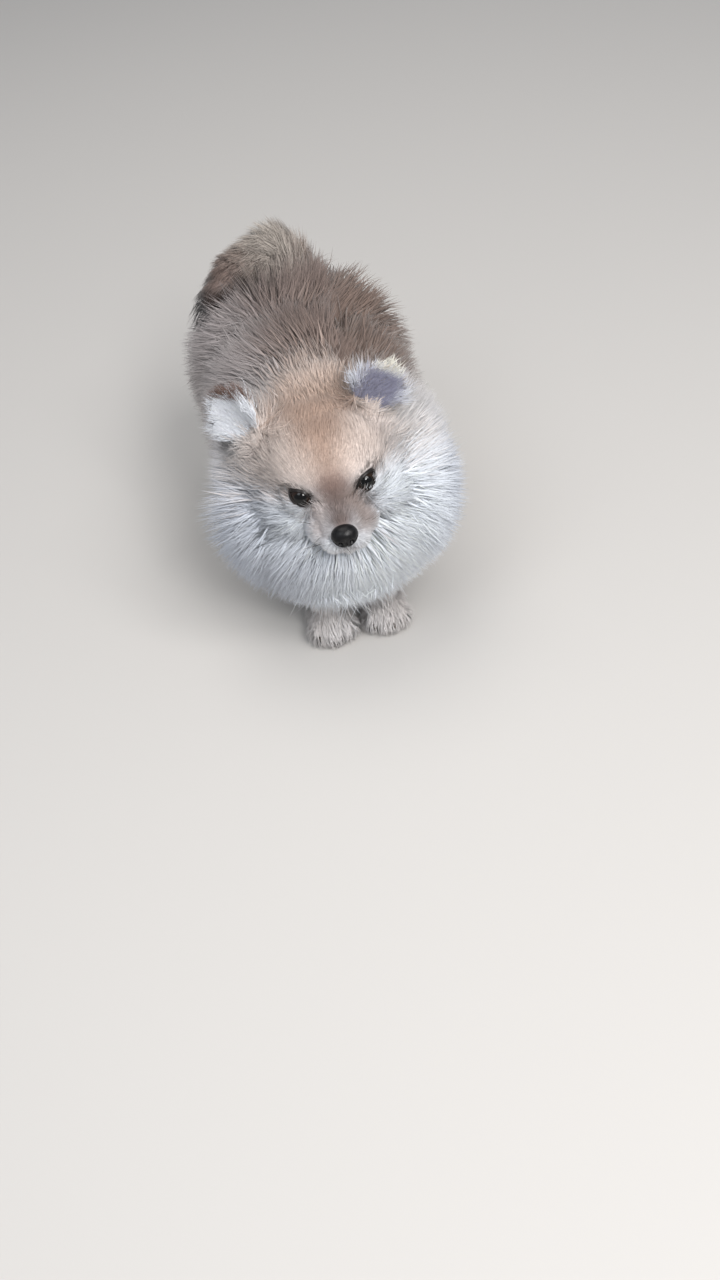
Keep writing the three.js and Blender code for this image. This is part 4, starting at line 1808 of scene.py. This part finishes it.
    def build(self, finish: bpy.types.Material) -> None:
        """Grows every kind of hair, in as many pieces as the size of one allows.

        Args:
            finish: The coat's material.
        """
        slots = {Zone.BODY: "sable_coat", Zone.FACE: "orange_coat"}
        for growth in GROWTH:
            grown = self.tufts(growth)
            parts = math.ceil(len(grown.points) * len(tuft_pattern()[0]) / self.most_triangles)
            order = np.argsort(grown.points[:, 0, 0], kind="stable")
            for number, rows in enumerate(np.array_split(order, parts), start=1):
                name = f"coat_{growth.name}_{number}" if parts > 1 else f"coat_{growth.name}"
                settled(self.piece(name, grown, rows), slots.get(growth.zone, "cream_coat"), finish)


# Studio


@dataclass(frozen=True)
class Light:
    """A square soft light that faces a point."""

    name: str
    place: Triple
    target: Triple
    size: float
    power: float
    colour: Triple

    def build(self) -> None:
        """Adds the light to the scene."""
        lamp = bpy.data.lights.new(self.name, "AREA")
        lamp.size, lamp.energy, lamp.color = self.size, self.power, self.colour
        made = added(self.name, lamp)
        made.location = self.place
        made.rotation_euler = (Vector(self.target) - Vector(self.place)).to_track_quat("-Z", "Y").to_euler()


LIGHTS = (
    Light("key", (0.9, -1.1, 2.0), (0, -0.04, 0.08), 1.1, 29.0, (1.0, 0.98, 0.97)),
    Light("top", (-0.2, 0.6, 2.1), (0, 0.02, 0.1), 1.4, 13.5, (1.0, 0.96, 0.92)),
    Light("fill", (-1.1, -0.9, 1.8), (0, -0.05, 0.1), 1.0, 8.5, (0.93, 0.96, 1.0)),
    Light("catch", (0.28, -1.1, 1.05), (0, -0.13, 0.11), 0.34, 7.8, (1.0, 0.99, 0.98)),
)


@dataclass(frozen=True)
class Studio:
    """The floor, the lights and the camera."""

    eye_point: Triple = (-66.0, -707.0, 610.0)
    pitch: float = 45.83
    roll: float = 7.33
    heading: float = -6.0
    focal_px: float = 1148.4
    long_px: float = 1280.0
    sky: Triple = (0.90, 0.94, 1.0)
    sky_strength: float = 0.36

    def floor(self) -> None:
        """A plain pale floor."""
        bpy.ops.mesh.primitive_plane_add(size=6.0, location=(0, 0, 0))
        made = bpy.context.object
        made.name = "floor"
        material, graph, shader = started("pale_floor")
        noise = graph.add("TexNoise", {"Scale": 3.0}).outputs["Fac"]
        pale = graph.ramp(noise, ((0.0, (0.55, 0.533, 0.512)), (1.0, (0.60, 0.583, 0.56))))
        graph.feed(shader, {"Base Color": pale, "Roughness": 0.6})
        made.data.materials.append(material)

    def daylight(self) -> None:
        """Soft daylight from above and in front, with a weak fill."""
        world = bpy.data.worlds.new("studio")
        bpy.context.scene.world = world
        world.use_nodes = True
        background = world.node_tree.nodes["Background"]
        background.inputs["Color"].default_value = (*self.sky, 1)
        background.inputs["Strength"].default_value = self.sky_strength
        for light in LIGHTS:
            light.build()
        view = bpy.context.scene.view_settings
        view.view_transform, view.look, view.exposure = "Standard", "None", 0.0

    def camera(self) -> None:
        """The camera, where the photograph was taken from."""
        p, r = math.radians(self.pitch), math.radians(self.roll)
        ahead = Vector((0, math.cos(p), -math.sin(p)))
        level = Vector((1, 0, 0))
        down = ahead.cross(level)
        right = level * math.cos(r) + down * math.sin(r)
        below = down * math.cos(r) - level * math.sin(r)
        turn = Matrix((right, -below, -ahead)).transposed().to_4x4()
        lens = bpy.data.cameras.new("camera")
        lens.sensor_width = 36.0
        lens.lens = lens.sensor_width * self.focal_px / self.long_px
        lens.clip_start = 0.01
        made = added("camera", lens)
        place = Matrix.Translation(Vector(to_row(np.array(self.eye_point))))
        made.matrix_world = place @ Matrix.Rotation(math.radians(self.heading), 4, "Z") @ turn
        bpy.context.scene.camera = made

    def build(self) -> None:
        """Sets up the studio."""
        self.camera()
        self.floor()
        self.daylight()


LEATHER = PebbleFinish(
    "nose_leather", (0.003, 0.003, 0.0035), (0.010, 0.0095, 0.011), 1500.0, (0.26, 0.42), 0.4, 0.12
)
LID_RIM = PebbleFinish("lid_rim", (0.006, 0.005, 0.005), (0.022, 0.016, 0.014), 1800.0, (0.3, 0.5), 0.3, 0.25)
HORN = PebbleFinish(
    "claw_horn", (0.025, 0.018, 0.014), (0.10, 0.075, 0.06), 500.0, (0.25, 0.45), 0.2, 0.2,
    stretch=(1, 0.2, 1),
)


def main() -> None:
    """Builds the dog and its studio."""
    logging.basicConfig(level=logging.INFO, format="%(message)s")
    Studio().build()
    streaks = streak_group()
    hair = HairFinish("coat_hair").make(streaks)
    hide = HairFinish("skin_under_hair", scale=1400.0, amount=0.2, sheen=0.1, bump=0.5).make(streaks)
    lid_rim = LID_RIM.make()
    mouth = Mouth()
    eyes = [Eye(side) for side in Side]
    skin = Skin().build(eyes, mouth, hide)
    for eye in eyes:
        eye.ball()
        eye.lids(lid_rim)
    Nose().build(LEATHER.make())
    Claws().build(HORN.make())
    Coat(skin, eyes, mouth).build(hair)


if __name__ == "__main__":
    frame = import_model()
    main()
